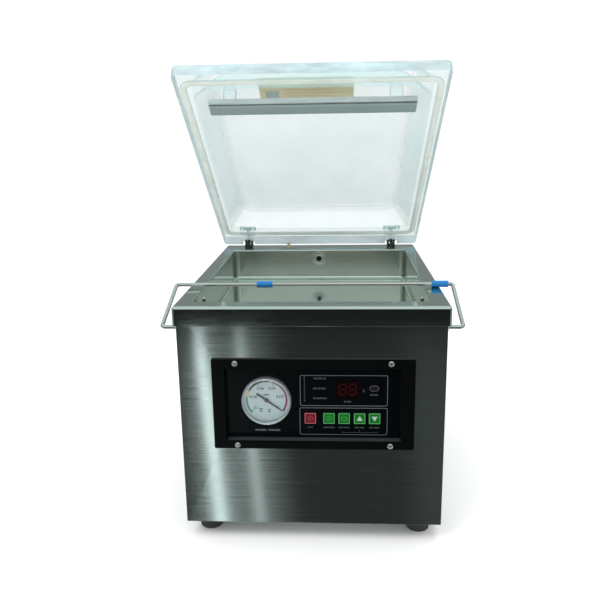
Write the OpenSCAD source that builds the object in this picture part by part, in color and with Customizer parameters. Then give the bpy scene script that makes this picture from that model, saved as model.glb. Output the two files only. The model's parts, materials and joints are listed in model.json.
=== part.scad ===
// Table-top chamber vacuum packing machine.
// X is to the right, Y to the back, Z up. Origin: centre of the footprint, on the table.

/* [Body] */
// Width of the deck flange
deck_w = 330; // [320:1:345]
// Depth of the deck flange
deck_d = 436; // [430:1:445]
// Height of the deck above the table
deck_z = 308; // [300:1:320]
// Height of the turned-down skirt of the deck
skirt_h = 24; // [18:1:26]
// Step from the deck flange in to the side panels
side_step = 3.75; // [3.5:0.05:5]
// Height of the rubber feet
foot_h = 23; // [15:1:30]
// Thickness of the cabinet sheet
sheet = 1.5; // [1.2:0.1:2]

/* [Chamber] */
// Inner width of the chamber
tank_w = 288; // [270:1:290]
// Depth of the chamber below the deck
tank_h = 50; // [45:1:60]
// Width of the deck rim in front of the chamber
front_rim = 26.6; // [24:0.2:30]
// Width of the deck rim behind the chamber
rear_rim = 53; // [50:1:56]
// Length of the seal bar
seal_l = 266; // [250:1:266]
// Travel of the seal bar up to the counter bar
seal_lift = 19; // [15:0.5:19]

/* [Lid] */
// Width of the lid
lid_w = 335; // [330:1:340]
// Thickness of the lid's flat rim
rim_t = 17; // [14:1:18]
// Inner height of the dome above the rim's lower face
dome_h = 42; // [36:1:46]
// Wall of the dome
dome_wall = 9; // [7:0.5:10]
// Angle at which the open lid stands
lid_open = 37; // [30:1:40]

/* [Controls] */
// Width of the black bezel
bezel_w = 245; // [235:1:250]
// Height of the black bezel
bezel_h = 116.5; // [110:0.5:120]
// Diameter of the vacuum gauge
gauge_d = 61.5; // [54:0.5:63]
// Side of one square key
key_s = 14.4; // [12:0.2:15]
// Travel of one key
key_travel = 0.6; // [0.3:0.1:1]

/* [Bail] */
// Diameter of the bail's wire
wire_d = 5; // [4:0.5:6]
// Length of the bail's legs, from pivot to bar
bail_leg = 94.6; // [90:0.2:98]
// Diameter of the blue sleeves
sleeve_d = 8.6; // [8:0.2:10]

/* [Hidden] */
$fn = 48;

fit_gap = 0.05;        // radial clearance of a running fit
free_gap = 0.3;        // gap between pieces that must not touch
edge_r = 3.5;          // rounded edge of the deck
y0 = -222;             // front face of the deck flange
y1 = y0 + deck_d;      // rear face of the deck flange
body_x = deck_w / 2 - side_step;
body_y0 = y0 + 2.8;
body_y1 = y1 - 2.8;
body_top = deck_z - 2;
tank_x = tank_w / 2;
tank_y0 = y0 + front_rim;
tank_y1 = y1 - rear_rim;
tank_z = deck_z - tank_h;

hinge_x = 124.5;
hinge_y = y1 - 8;
hinge_z = deck_z + 10;
lid_z = deck_z + 1.5;  // lower face of the closed lid's rim
lid_y0 = y0 - 7.5;
lid_y1 = hinge_y;
rim_top = lid_z + rim_t;
notch_w = 21;
notch_d = 20;
gasket_w = 8;
gasket_x = 157;
gasket_y0 = y0 + 8;
gasket_y1 = lid_y1 - 38;
lever_l = 28;
lever_angle = 22;      // lever, forward of straight down, lid closed
pin_r = 2.5;
slot_w = 5.5;

seal_y = y0 + 66;
seal_w = 20;
seal_z = deck_z - 39.5;
post_x = 137.5;
post_r = 2.5;
post_top = deck_z - 4.5;
counter_t = 9;
counter_z = lid_z + 4;
seal_top = counter_z - 1 - seal_lift;   // lifted, it stops 1.4 below the counter bar

bail_x = 180;
bail_y = y0 + 11;
bail_z = deck_z - skirt_h - 3.5;
bail_rest = asin((deck_z + sleeve_d / 2 - bail_z) / bail_leg);
bend_r = 4.5;

panel_x = 2;                       // the bezel sits a little to the right of the middle
panel_z = deck_z - 122.9;          // height of the bezel's centre
open_x = 107.5;
open_z0 = deck_z - 171.5;
open_z1 = deck_z - 77.5;
recess_wall = 1.2;                 // sheet round the recess, behind the bezel
plate_y = y0 + 13;                 // front face of the recessed control plate
gauge_x = -55.5;
gauge_z = deck_z - 121.4;
key_z = deck_z - 145.6;
key_x = [-2, 21, 39.6, 58.7, 77.1];
digits_x = 44.2;
digits_z = deck_z - 107.8;
lamp_x = 76.4;
lamp_z = deck_z - 106.2;
bezel_screw_x = 93.65;
bezel_screw_z = [deck_z - 176.3, deck_z - 70.2];

foot_x = 136;
foot_y = [-185, 178];
port_z = deck_z - 15;
switch_x = -53;
switch_y = 184;
gland_x = 120;
gland_z = 60;
gland_r = 4;
gland_end = -body_y0 + 4.9;         // as far behind the origin as the bezel's screws are in front
line_z = 180;                      // height of the hoses under the chamber
block_y = 176;
bladder_x = -44;

steel = [0.66, 0.68, 0.67];
bright = [0.80, 0.81, 0.80];
black = [0.05, 0.05, 0.055];
clear = [0.85, 0.93, 0.92, 0.35];
blue = [0.10, 0.45, 0.75];
white = [0.92, 0.92, 0.90];
dark_rubber = [0.08, 0.08, 0.08];

// ---- shared shapes ----

module box3(lo, hi) translate(lo) cube(hi - lo);

module rrect(w, d, r) {
    square([w - 2 * r, d], center = true);
    square([w, d - 2 * r], center = true);
    for (sx = [-1, 1], sy = [-1, 1])
        translate([sx * (w / 2 - r), sy * (d / 2 - r)]) circle(r);
}

// Upright slab with rounded corners, from one lower corner to the other upper one
module rslab(lo, hi, r) {
    translate([(lo[0] + hi[0]) / 2, (lo[1] + hi[1]) / 2, lo[2]])
        linear_extrude(hi[2] - lo[2]) rrect(hi[0] - lo[0], hi[1] - lo[1], r);
}

// Rod along Y, from y to y + l
module rod_y(x, y, z, r, l) translate([x, y, z]) rotate([-90, 0, 0]) cylinder(h = l, r = r);

// Rod along X, centred on x
module rod_x(x, y, z, r, l) translate([x, y, z]) rotate([0, 90, 0]) cylinder(h = l, r = r, center = true);

// Pan head screw pointing along +Y: head in front of y, shank behind it
module screw_y(x, y, z, head_r, shank_r, l) {
    difference() {
        rod_y(x, y - 2.4, z, head_r, 2.4);
        for (a = [0, 90])
            translate([x, y - 2, z]) rotate([0, a, 0]) cube([head_r * 1.2, 1.4, 0.9], center = true);
    }
    rod_y(x, y, z, shank_r, l);
}

module in_lid() {
    translate([0, hinge_y, hinge_z]) rotate([-lid_open, 0, 0])
        translate([0, -hinge_y, -hinge_z]) children();
}

module in_bail() {
    translate([0, bail_y, bail_z]) rotate([bail_rest, 0, 0]) children();
}

// Quarter bend in the XY plane, centred on the origin, from +X round to +Y
module quarter(r_bend, r_wire) rotate_extrude(angle = 90) translate([r_bend, 0]) circle(r_wire);

// Elbow in the YZ plane, a quarter turn that starts at angle a, counted from +Y towards +Z
module elbow(x, y, z, a, r_bend, r_wire)
    translate([x, y, z]) rotate([90, 0, 90]) rotate([0, 0, a]) quarter(r_bend, r_wire);

// ---- cabinet ----

module base_plate() color(steel) difference() {
    box3([-body_x + sheet, body_y0 + sheet, foot_h], [body_x - sheet, body_y1 - sheet, foot_h + 2]);
    for (sx = [-1, 1], y = foot_y)
        translate([sx * foot_x, y, foot_h - 1]) cylinder(h = 4, r = 2.6);
}

module front_panel() color(steel) difference() {
    box3([-body_x, body_y0, foot_h], [body_x, body_y0 + sheet, body_top]);
    box3([panel_x - open_x - 2.5, body_y0 - 1, open_z0 - 2.5],
        [panel_x + open_x + 2.5, body_y0 + 3, open_z1 + 2.5]);
    for (sx = [-1, 1], z = bezel_screw_z)
        rod_y(panel_x + sx * bezel_screw_x, body_y0 - 1, z, 2.1, 4);
}

module side_panel(side) color(steel) difference() {
    union() {
        xs = side * (body_x - sheet / 2);
        translate([xs, (body_y0 + body_y1) / 2, (foot_h + body_top) / 2])
            cube([sheet, body_y1 - body_y0 - 2 * sheet, body_top - foot_h], center = true);
        // flange that takes the rear panel's screws
        translate([side * (body_x - sheet - 6), body_y1 - 1.5 * sheet, (foot_h + 2 + body_top) / 2])
            cube([12, sheet, body_top - foot_h - 4], center = true);
    }
    rod_x(side * body_x, bail_y, bail_z, 4, 10);
    for (z = [60, 165, 270])
        rod_y(side * (body_x - 8), body_y1 - 10, z, 2.05, 12);
}
module side_panel_left() side_panel(-1);
module side_panel_right() side_panel(1);

module rear_panel() color(steel) difference() {
    box3([-body_x, body_y1 - sheet, foot_h], [body_x, body_y1, body_top]);
    for (sx = [-1, 1], z = [60, 165, 270])
        rod_y(sx * (body_x - 8), body_y1 - 4, z, 2.05, 8);
    // rows of cooling slots
    for (sx = [-1, 1], k = [0:6])
        translate([sx * 52, body_y1, 85 + 11 * k]) rotate([90, 0, 0])
            linear_extrude(6, center = true) rrect(62, 4.4, 2.19);
    rod_y(gland_x, body_y1 - 4, gland_z, 8.05, 8);
}

module panel_screws() color(bright)
    for (sx = [-1, 1], z = [60, 165, 270])
        mirror([0, 1, 0]) screw_y(sx * (body_x - 8), -body_y1, z, 3.6, 2, 8);

module chamber_tank() color(bright) difference() {
    union() {
        // deck with a rounded edge, and its skirt
        box3([-deck_w / 2, y0, deck_z - skirt_h], [deck_w / 2, y1, deck_z - edge_r]);
        box3([-deck_w / 2 + edge_r, y0 + edge_r, deck_z - edge_r],
            [deck_w / 2 - edge_r, y1 - edge_r, deck_z]);
        for (sy = [y0 + edge_r, y1 - edge_r])
            rod_x(0, sy, deck_z - edge_r, edge_r, deck_w - 2 * edge_r);
        for (sx = [-1, 1])
            rod_y(sx * (deck_w / 2 - edge_r), y0 + edge_r, deck_z - edge_r, edge_r, deck_d - 2 * edge_r);
        for (sx = [-1, 1], sy = [y0 + edge_r, y1 - edge_r])
            translate([sx * (deck_w / 2 - edge_r), sy, deck_z - edge_r]) sphere(edge_r);
        box3([-tank_x - sheet, tank_y0 - sheet, tank_z - sheet],
            [tank_x + sheet, tank_y1 + sheet, deck_z - 1]);
    }
    // hollow between skirt and basin
    difference() {
        box3([-deck_w / 2 + sheet, y0 + sheet, deck_z - skirt_h - 1],
            [deck_w / 2 - sheet, y1 - sheet, body_top]);
        box3([-tank_x - sheet, tank_y0 - sheet, tank_z - 9], [tank_x + sheet, tank_y1 + sheet, deck_z]);
    }
    box3([-tank_x, tank_y0, tank_z], [tank_x, tank_y1, deck_z + 1]);
    rod_y(0, tank_y1 - 1, port_z, 7.05, 4);
    for (sx = [-1, 1])
        translate([sx * post_x, seal_y, tank_z - 3]) cylinder(h = 5, r = post_r);
    translate([bladder_x, seal_y, tank_z - 3]) cylinder(h = 5, r = 3.05);
    translate([switch_x, switch_y, deck_z - 4]) cylinder(h = 5, r = 4.45);
    for (sx = [-1, 1])
        box3([sx * hinge_x - slot_w / 2, hinge_y - 32, body_top - 1],
            [sx * hinge_x + slot_w / 2, hinge_y + 4, deck_z + 1]);
}

module feet() color(dark_rubber)
    for (sx = [-1, 1], y = foot_y)
        translate([sx * foot_x, y, 0]) difference() {
            cylinder(h = foot_h, r1 = 14.5, r2 = 17.5);
            translate([0, 0, -1]) cylinder(h = 9, r = 6);
            cylinder(h = foot_h + 1, r = 2.6);
        }

module foot_screws() color(bright)
    for (sx = [-1, 1], y = foot_y)
        translate([sx * foot_x, y, 0]) {
            translate([0, 0, 4.6]) cylinder(h = 3.4, r = 5);
            translate([0, 0, 8]) cylinder(h = foot_h, r = 2.5);
            translate([0, 0, foot_h + 2]) cylinder(h = 4, r = 4.6, $fn = 6);
        }

// ---- control panel ----

module control_bezel() color(black) difference() {
    union() {
        translate([panel_x, body_y0, panel_z]) rotate([90, 0, 0])
            linear_extrude(2.5) rrect(bezel_w, bezel_h, 2);
        box3([panel_x - open_x - recess_wall, body_y0, open_z0 - recess_wall],
            [panel_x + open_x + recess_wall, plate_y, open_z1 + recess_wall]);
    }
    box3([panel_x - open_x, body_y0 - 5, open_z0], [panel_x + open_x, plate_y + 1, open_z1]);
    for (sx = [-1, 1], z = bezel_screw_z)
        rod_y(panel_x + sx * bezel_screw_x, body_y0 - 5, z, 2.1, 20);
}

module bezel_screws() color(bright)
    for (sx = [-1, 1], z = bezel_screw_z) {
        screw_y(panel_x + sx * bezel_screw_x, body_y0 - 2.5, z, 3.5, 2, 9.5);
        translate([panel_x + sx * bezel_screw_x, body_y0 + sheet, z]) rotate([-90, 0, 0]) difference() {
            cylinder(h = 3, r = 3.9, $fn = 6);
            translate([0, 0, -1]) cylinder(h = 5, r = 2.02);
        }
    }

// Openings of the plate and of the film on it
module panel_cuts() {
    rod_y(gauge_x, plate_y - 5, gauge_z, gauge_d / 2 - 2.7, 12);
    for (x = key_x)
        translate([x, plate_y, key_z]) cube([key_s + 0.8, 12, key_s + 0.8], center = true);
    translate([digits_x, plate_y, digits_z]) cube([30, 12, 24], center = true);
    translate([lamp_x, plate_y, lamp_z]) rotate([90, 0, 0])
        linear_extrude(12, center = true) rrect(11, 7, 3.49);
}

module control_plate() color([0.12, 0.12, 0.13]) difference() {
    box3([panel_x - open_x - 2, plate_y, open_z0 - 2],
        [panel_x + open_x + 2, plate_y + 2, open_z1 + 2]);
    panel_cuts();
}

module control_overlay() color(black) difference() {
    box3([panel_x - open_x + 0.3, plate_y - 0.3, open_z0 + 0.3],
        [panel_x + open_x - 0.3, plate_y, open_z1 - 0.3]);
    panel_cuts();
}

module gauge_case() color(bright) {
    r = gauge_d / 2;
    // bright rim, then the case behind the plate, its rear nut and its stem
    translate([gauge_x, plate_y - 0.3, gauge_z]) rotate([90, 0, 0]) rotate_extrude()
        polygon([[r - 3, 0], [r - 0.6, 0], [r, 0.8], [r, 6.9], [r - 1.2, 8.7], [r - 3, 8.7]]);
    translate([gauge_x, plate_y, gauge_z]) rotate([-90, 0, 0]) rotate_extrude()
        polygon([[0, 24], [r - 4, 24], [r - 3, 22], [r - 3, 0], [r - 4.2, 0], [r - 4.2, 20], [0, 20]]);
    rod_y(gauge_x, plate_y + 24, gauge_z, 6, 7);
}

module gauge_dial() color(white) difference() {
    rod_y(gauge_x, plate_y - 1, gauge_z, gauge_d / 2 - 3.1, 0.8);
    rod_y(gauge_x, plate_y - 3, gauge_z, 1.25 + fit_gap, 5);
}

module gauge_lens() color(clear)
    rod_y(gauge_x, plate_y - 8, gauge_z, gauge_d / 2 - 3.1, 1.3);

module gauge_needle() color(black)
    translate([gauge_x, plate_y - 2.8, gauge_z]) rotate([0, 36, 0]) {
        rotate([-90, 0, 0]) cylinder(h = 0.8, r = 2.6);
        rotate([-90, 0, 0]) cylinder(h = 18, r = 1.25);
        rotate([-90, 0, 0]) linear_extrude(0.5)
            polygon([[-15, -1.1], [0, -1.3], [20, -0.7], [24, 0], [20, 0.7], [0, 1.3], [-15, 1.1]]);
    }

module gauge_tube() color([0.75, 0.78, 0.80]) difference() {
    rod_y(gauge_x, plate_y + 31, line_z + 5, 3.2, block_y - plate_y - 31);
    rod_y(gauge_x, plate_y + 31, line_z + 5, 2, block_y - plate_y - 31);
}

module display_window() color([0.18, 0.02, 0.03])
    translate([digits_x, plate_y + 0.7, digits_z]) cube([29.6, 2, 23.6], center = true);

module display_module() color([0.15, 0.15, 0.16])
    box3([digits_x - 14, plate_y + 2.2, digits_z - 11], [digits_x + 14, plate_y + 8, digits_z + 11]);

module status_lamp() color([0.25, 0.05, 0.05])
    translate([lamp_x, plate_y + 2, lamp_z]) rotate([90, 0, 0]) linear_extrude(2.5) rrect(10.6, 6.6, 3.29);

module control_board() color([0.05, 0.30, 0.12]) {
    box3([-18, plate_y + 8, key_z - 14], [94, plate_y + 9.6, digits_z + 16]);
    for (x = [-14, 90], z = [key_z - 11, digits_z + 13])
        rod_y(x, plate_y + 2, z, 2.5, 6);
}

module key_switches() color([0.2, 0.2, 0.21])
    for (x = key_x) {
        translate([x, plate_y + 6.8, key_z]) cube([6, 2.4, 6], center = true);
        rod_y(x, plate_y + 4.1 + key_travel, key_z, 1.7, 1.6 - key_travel);
    }

// One square key: cap through the panel, retaining flange behind it
module key_cap(k, hue) color(hue) {
    translate([key_x[k], plate_y + 0.7, key_z]) rotate([90, 0, 0])
        linear_extrude(3.4, center = true) rrect(key_s, key_s, 1);
    translate([key_x[k], plate_y + 2.9, key_z]) cube([key_s + 2.2, 1, key_s + 2.2], center = true);
}
module key_stop() key_cap(0, [0.55, 0.08, 0.12]);
module key_power() key_cap(1, [0.10, 0.50, 0.10]);
module key_set() key_cap(2, [0.10, 0.50, 0.10]);
module key_up() key_cap(3, [0.10, 0.50, 0.10]);
module key_down() key_cap(4, [0.10, 0.50, 0.10]);

// ---- chamber ----

module suction_port() color(bright) difference() {
    union() {
        rod_y(0, tank_y1 - 2, port_z, 12, 2);
        rod_y(0, tank_y1, port_z, 7, 14);
        translate([0, tank_y1 + sheet, port_z]) rotate([-90, 0, 0]) cylinder(h = 5, r = 11, $fn = 6);
    }
    rod_y(0, tank_y1 - 3, port_z, 5.6, 20);
}

module guide_posts() color(bright)
    for (sx = [-1, 1])
        translate([sx * post_x, seal_y, tank_z - 8]) {
            cylinder(h = post_top - tank_z + 7, r = post_r);
            cylinder(h = post_top - tank_z + 8, r = post_r - 1);
        }

module post_nuts() color(bright)
    for (sx = [-1, 1])
        translate([sx * post_x, seal_y, tank_z - sheet - 4]) difference() {
            cylinder(h = 4, r = 4.6, $fn = 6);
            translate([0, 0, -1]) cylinder(h = 6, r = post_r + 0.02);
        }

module lift_bladder() color([0.75, 0.72, 0.65]) {
    translate([0, seal_y, tank_z]) linear_extrude(9.8) rrect(seal_l - 30, seal_w + 2, 8);
    translate([bladder_x, seal_y, tank_z - 9]) cylinder(h = 10, r = 3);
}

module bladder_hose() color([0.75, 0.78, 0.80]) {
    bend = 12;
    translate([bladder_x, seal_y, line_z + bend]) difference() {
        cylinder(h = tank_z - line_z - bend - 2, r = 4.2);
        translate([0, 0, tank_z - line_z - bend - 10]) cylinder(h = 9, r = 3.05);
    }
    elbow(bladder_x, seal_y + bend, line_z + bend, 180, bend, 4.2);
    rod_y(bladder_x, seal_y + bend, line_z, 4.2, block_y - seal_y - bend);
}

module seal_bar() color([0.70, 0.71, 0.72]) difference() {
    union() {
        box3([-seal_l / 2, seal_y - seal_w / 2, seal_z], [seal_l / 2, seal_y + seal_w / 2, seal_top - 1.4]);
        for (sx = [-1, 1])
            translate([sx * (post_x - 3), seal_y, seal_z + 4]) cube([16, 12, 8], center = true);
    }
    for (sx = [-1, 1]) {
        translate([sx * post_x, seal_y, seal_z - 1]) cylinder(h = 40, r = post_r + fit_gap);
        // the end of the bar is cut back round the post
        box3([min(sx * 132, sx * 150), seal_y - 11, seal_z + 8],
            [max(sx * 132, sx * 150), seal_y + 11, deck_z]);
    }
}

module heater_strip() color([0.60, 0.58, 0.55]) {
    box3([-130, seal_y - 3, seal_top - 1.4], [130, seal_y + 3, seal_top - 1]);
    for (sx = [-1, 1])
        box3([sx * 130 - 1, seal_y - 3, seal_top - 1.4], [sx * 130 + 1, seal_y + 3, seal_top - 0.8]);
}

module seal_cover() color([0.55, 0.36, 0.20]) difference() {
    box3([-129, seal_y - seal_w / 2 - 0.4, seal_top - 12], [129, seal_y + seal_w / 2 + 0.4, seal_top - 0.4]);
    box3([-140, seal_y - seal_w / 2, seal_z - 10], [140, seal_y + seal_w / 2, seal_top - 1.4]);
    box3([-131, seal_y - 3.1, seal_top - 2], [131, seal_y + 3.1, seal_top - 0.75]);
}

module switch_housing() color([0.72, 0.60, 0.30]) difference() {
    union() {
        translate([switch_x, switch_y, deck_z - 14]) cylinder(h = 14.6, r = 4.4);
        translate([switch_x, switch_y, body_top - 4]) cylinder(h = 4, r = 7.4, $fn = 6);
        translate([switch_x, switch_y, deck_z]) cylinder(h = 0.8, r = 5.4);
        translate([switch_x, switch_y, deck_z - 28]) cube([20, 10, 28], center = true);
    }
    translate([switch_x, switch_y, deck_z - 33]) cylinder(h = 40, r = 2.4 + fit_gap);
    translate([switch_x, switch_y, deck_z - 1.8]) cylinder(h = 8, r = 3.6);
}

module switch_plunger() color([0.80, 0.78, 0.70])
    translate([switch_x, switch_y, 0]) {
        translate([0, 0, deck_z - 22]) cylinder(h = 30, r = 2.4);
        translate([0, 0, deck_z + 6.5]) cylinder(h = 2.5, r = 3.4);
    }

// ---- hinges ----

module hinge_brackets() color(black)
    for (sx = [-1, 1]) translate([sx * hinge_x, 0, 0]) difference() {
        union() {
            box3([-6.5, hinge_y - 13, deck_z], [6.5, hinge_y + 6, deck_z + 1.4]);
            for (c = [-5, 5])
                translate([c, 0, 0]) rotate([90, 0, 90]) linear_extrude(3, center = true)
                    polygon([[hinge_y - 13, deck_z], [hinge_y + 6, deck_z], [hinge_y + 3.8, hinge_z],
                        [hinge_y - 3.8, hinge_z]]);
            for (c = [-5, 5])
                rod_x(c, hinge_y, hinge_z, 3.8, 3);
        }
        rod_x(0, hinge_y, hinge_z, pin_r + 0.02, 20);
        box3([-slot_w / 2, hinge_y - 14, deck_z - 1], [slot_w / 2, hinge_y + 3.5, deck_z + 3]);
    }

module hinge_pins() color(bright)
    for (sx = [-1, 1]) {
        rod_x(sx * hinge_x, hinge_y, hinge_z, pin_r, 16);
        for (e = [-1, 1])
            rod_x(sx * hinge_x + e * 7.3, hinge_y, hinge_z, 3.4, 1.4);
    }

// Leaf on the lid's rim, knuckle round the pin, and lever through the deck's slot
module hinge_leaves() color(black) in_lid()
    for (sx = [-1, 1]) translate([sx * hinge_x, 0, 0]) difference() {
        union() {
            box3([-14, hinge_y - 33, rim_top], [14, hinge_y - 20.5, rim_top + 2.5]);
            rotate([90, 0, 90]) linear_extrude(6.4, center = true)
                polygon([[hinge_y - 24, rim_top], [hinge_y - 24, rim_top + 2.5],
                    [hinge_y - 10, rim_top + 2.5], [hinge_y + 3.4, hinge_z + 3.2],
                    [hinge_y - 4, hinge_z + 1], [hinge_y - 15.8, rim_top]]);
            rod_x(0, hinge_y, hinge_z, 4.6, 6.4);
            translate([0, hinge_y, hinge_z]) rotate([-lever_angle, 0, 0]) {
                translate([-2, -3.6, -lever_l]) cube([4, 7.2, lever_l]);
                translate([0, 0, -lever_l]) rotate([0, 90, 0]) cylinder(h = 4, r = 3.6, center = true);
            }
        }
        rod_x(0, hinge_y, hinge_z, pin_r + fit_gap, 20);
        for (c = [-9.5, 9.5])
            translate([c, hinge_y - 26.5, rim_top - 1]) cylinder(h = 5, r = 2.1);
    }

module leaf_screws() color([0.12, 0.12, 0.12]) in_lid()
    for (sx = [-1, 1], c = [-9.5, 9.5])
        translate([sx * hinge_x + c, hinge_y - 26.5, rim_top - 11]) {
            cylinder(h = 13.5, r = 2);
            translate([0, 0, 13.5]) cylinder(h = 2.2, r = 3.6);
        }

lever_y = hinge_y - lever_l * sin(lever_angle + lid_open);
lever_z = hinge_z - lever_l * cos(lever_angle + lid_open);
seat_z = 205;

module lid_springs() color([0.5, 0.5, 0.52])
    for (sx = [-1, 1]) translate([sx * hinge_x, lever_y, seat_z]) difference() {
        cylinder(h = lever_z - 3.6 - free_gap - seat_z, r = 6);
        translate([0, 0, -1]) cylinder(h = 100, r = 4.2);
    }

module spring_seats() color(steel)
    for (sx = [-1, 1]) translate([sx * hinge_x, 0, 0]) {
        box3([-10, lever_y - 8, seat_z - 2], [10, body_y1 - sheet, seat_z]);
        box3([-10, body_y1 - sheet - 2, seat_z - 22], [10, body_y1 - sheet, seat_z]);
        translate([0, lever_y, seat_z]) cylinder(h = 6, r = 3.8);
    }

// ---- bail ----

module bail_bushes() color(white)
    for (side = [-1, 1]) difference() {
        union() {
            rod_x(side * (body_x - 1.2), bail_y, bail_z, 3.98, 4.8);
            rod_x(side * (body_x + 0.55), bail_y, bail_z, 5.4, 1.1);
        }
        rod_x(side * body_x, bail_y, bail_z, wire_d / 2 + fit_gap, 12);
    }

module bail_wire() color(bright) in_bail() {
    r = wire_d / 2;
    for (side = [-1, 1]) {
        end_l = bail_x - bend_r - 154;
        rod_x(side * (154 + end_l / 2), 0, 0, r, end_l);
        rod_y(side * bail_x, bend_r, 0, r, bail_leg - 2 * bend_r);
        translate([side * (bail_x - bend_r), bend_r, 0])
            rotate([0, 0, side > 0 ? -90 : 180]) quarter(bend_r, r);
        translate([side * (bail_x - bend_r), bail_leg - bend_r, 0])
            rotate([0, 0, side > 0 ? 0 : 90]) quarter(bend_r, r);
    }
    rod_x(0, bail_leg, 0, r, 2 * (bail_x - bend_r));
}

module bail_sleeve(x, l) difference() {
    rod_x(x, bail_leg, 0, sleeve_d / 2, l);
    rod_x(x, bail_leg, 0, wire_d / 2 + 0.02, l + 2);
}
module bail_sleeves() color(blue) in_bail() {
    bail_sleeve(-63.6, 20.4);
    bail_sleeve(164, 21);
}

module bail_clips() color(dark_rubber) in_bail()
    for (side = [-1, 1]) difference() {
        rod_x(side * 155.8, 0, 0, 5, 2);
        rod_x(side * 155.8, 0, 0, wire_d / 2 + 0.02, 4);
    }

// ---- lid ----

module dome_foot(wx, ya, yb, r, z) {
    for (sx = [-1, 1], y = [ya + r, yb - r])
        translate([sx * (wx - r), y, z]) cylinder(h = 0.5, r = r, $fn = 32);
}

module dome_crown(wx, ya, yb, r, e, z) {
    for (sx = [-1, 1], y = [ya + r, yb - r])
        translate([sx * (wx - r), y, z - e])
            rotate_extrude($fn = 32) translate([r - e, 0]) circle(e, $fn = 24);
}

module lid_shell() color(clear) in_lid() difference() {
    union() {
        rslab([-lid_w / 2, lid_y0, lid_z], [lid_w / 2, lid_y1, rim_top], 6);
        hull() {
            dome_foot(150, lid_y0 + 18, lid_y1 - 33, 30, rim_top - 1);
            dome_crown(137, lid_y0 + 32, lid_y1 - 37, 28, 13, lid_z + dome_h + dome_wall);
        }
    }
    hull() {
        dome_foot(148, lid_y0 + 26, lid_y1 - 43, 22, lid_z - 0.5);
        dome_crown(128, lid_y0 + 40, lid_y1 - 46, 22, 9, lid_z + dome_h);
    }
    // groove for the gasket
    translate([0, (gasket_y0 + gasket_y1) / 2, lid_z - 1]) linear_extrude(3.5) gasket_ring();
    // notches round the hinge brackets
    for (sx = [-1, 1]) translate([sx * hinge_x, hinge_y, lid_z - 1]) linear_extrude(rim_t + 2)
        polygon([[-notch_w / 2, 1], [-notch_w / 2, -notch_d / 2], [0, -notch_d], [notch_w / 2, -notch_d / 2],
            [notch_w / 2, 1]]);
    for (sx = [-1, 1], c = [-9.5, 9.5])
        translate([sx * hinge_x + c, hinge_y - 26.5, rim_top - 12]) cylinder(h = 14, r = 2.02);
}

module gasket_ring() difference() {
    rrect(2 * gasket_x + gasket_w, gasket_y1 - gasket_y0 + gasket_w, 16);
    rrect(2 * gasket_x - gasket_w, gasket_y1 - gasket_y0 - gasket_w, 8);
}

module lid_gasket() color([0.85, 0.82, 0.76]) in_lid()
    translate([0, (gasket_y0 + gasket_y1) / 2, deck_z + free_gap])
        linear_extrude(lid_z + 2.4 - deck_z - free_gap) gasket_ring();

module lid_label() color([0.80, 0.74, 0.55]) in_lid()
    box3([-72, y0 + 58.5, lid_z + dome_h + dome_wall], [54, y0 + 112, lid_z + dome_h + dome_wall + 0.3]);

module counter_bar() color(bright) in_lid()
    box3([-133, seal_y - 10, counter_z + 3.5], [133, seal_y + 10, counter_z + 3.5 + counter_t]);

module counter_pad() color([0.55, 0.58, 0.57]) in_lid()
    box3([-132, seal_y - 8, counter_z], [132, seal_y + 8, counter_z + 3.5]);

module counter_blocks() color(clear) in_lid()
    for (sx = [-1, 1])
        box3([sx * 108 - 8, seal_y - 7, counter_z + 3.5 + counter_t],
            [sx * 108 + 8, seal_y + 7, lid_z + dome_h]);

// ---- machinery inside ----

module vacuum_pump() color([0.30, 0.36, 0.42]) {
    difference() {
        rslab([-52, -40, foot_h + 15], [52, 70, 150], 10);
        rod_y(0, -41, 70, 12, 3);
    }
    // inlet, exhaust filter and oil sight glass
    translate([0, 30, 150]) cylinder(h = 12, r = 7);
    translate([84, 10, foot_h + 15]) cylinder(h = 120, r = 24);
    rod_x(56, 10, 120, 8, 10);
    rod_y(0, -42, 70, 11, 5);
    for (x = [-40, 40])
        box3([x - 10, -34, foot_h + 2], [x + 10, 64, foot_h + 15]);
}

module pump_motor() color([0.22, 0.24, 0.26]) {
    rod_y(0, 70, 94, 50, 78);
    rod_y(0, 148, 94, 53, 24);
    for (a = [0:15:345])
        translate([0, 109, 94]) rotate([0, a, 0]) translate([0, 0, 50]) cube([2, 70, 8], center = true);
    box3([-30, 86, foot_h + 2], [30, 130, 46]);
}

module vacuum_hoses() color([0.35, 0.33, 0.30]) {
    bend = 18;
    // chamber port to valve block
    difference() {
        rod_y(0, tank_y1 + 8, port_z, 9, 6);
        rod_y(0, tank_y1 + 7, port_z, 7.05, 8);
    }
    rod_y(0, tank_y1 + 14, port_z, 9, 1);
    elbow(0, tank_y1 + 15, port_z - bend, 0, bend, 9);
    translate([0, tank_y1 + 15 + bend, line_z + 15]) cylinder(h = port_z - bend - line_z - 15, r = 9);
    // valve block to pump inlet
    rod_y(0, 30 + bend, line_z, 9, block_y - 30 - bend);
    elbow(0, 30 + bend, line_z - bend, 90, bend, 9);
    translate([0, 30, 155]) difference() {
        cylinder(h = line_z - bend - 155, r = 9);
        translate([0, 0, -1]) cylinder(h = 10, r = 7.05);
    }
}

module valve_block() color([0.62, 0.63, 0.64]) {
    difference() {
        box3([-80, block_y, line_z - 15], [20, body_y1 - sheet, line_z + 15]);
        rod_y(gauge_x, block_y - 1, line_z + 5, 3.2, 2);
    }
    for (x = [-68, -44, -20])
        translate([x, block_y + 14, line_z + 15]) {
            cylinder(h = 30, r = 10);
            cylinder(h = 36, r = 4);
        }
}

module transformer() color([0.35, 0.28, 0.22]) {
    box3([-135, -170, foot_h + 2], [-65, -110, foot_h + 62]);
    box3([-122, -182, foot_h + 16], [-78, -98, foot_h + 48]);
}

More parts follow.
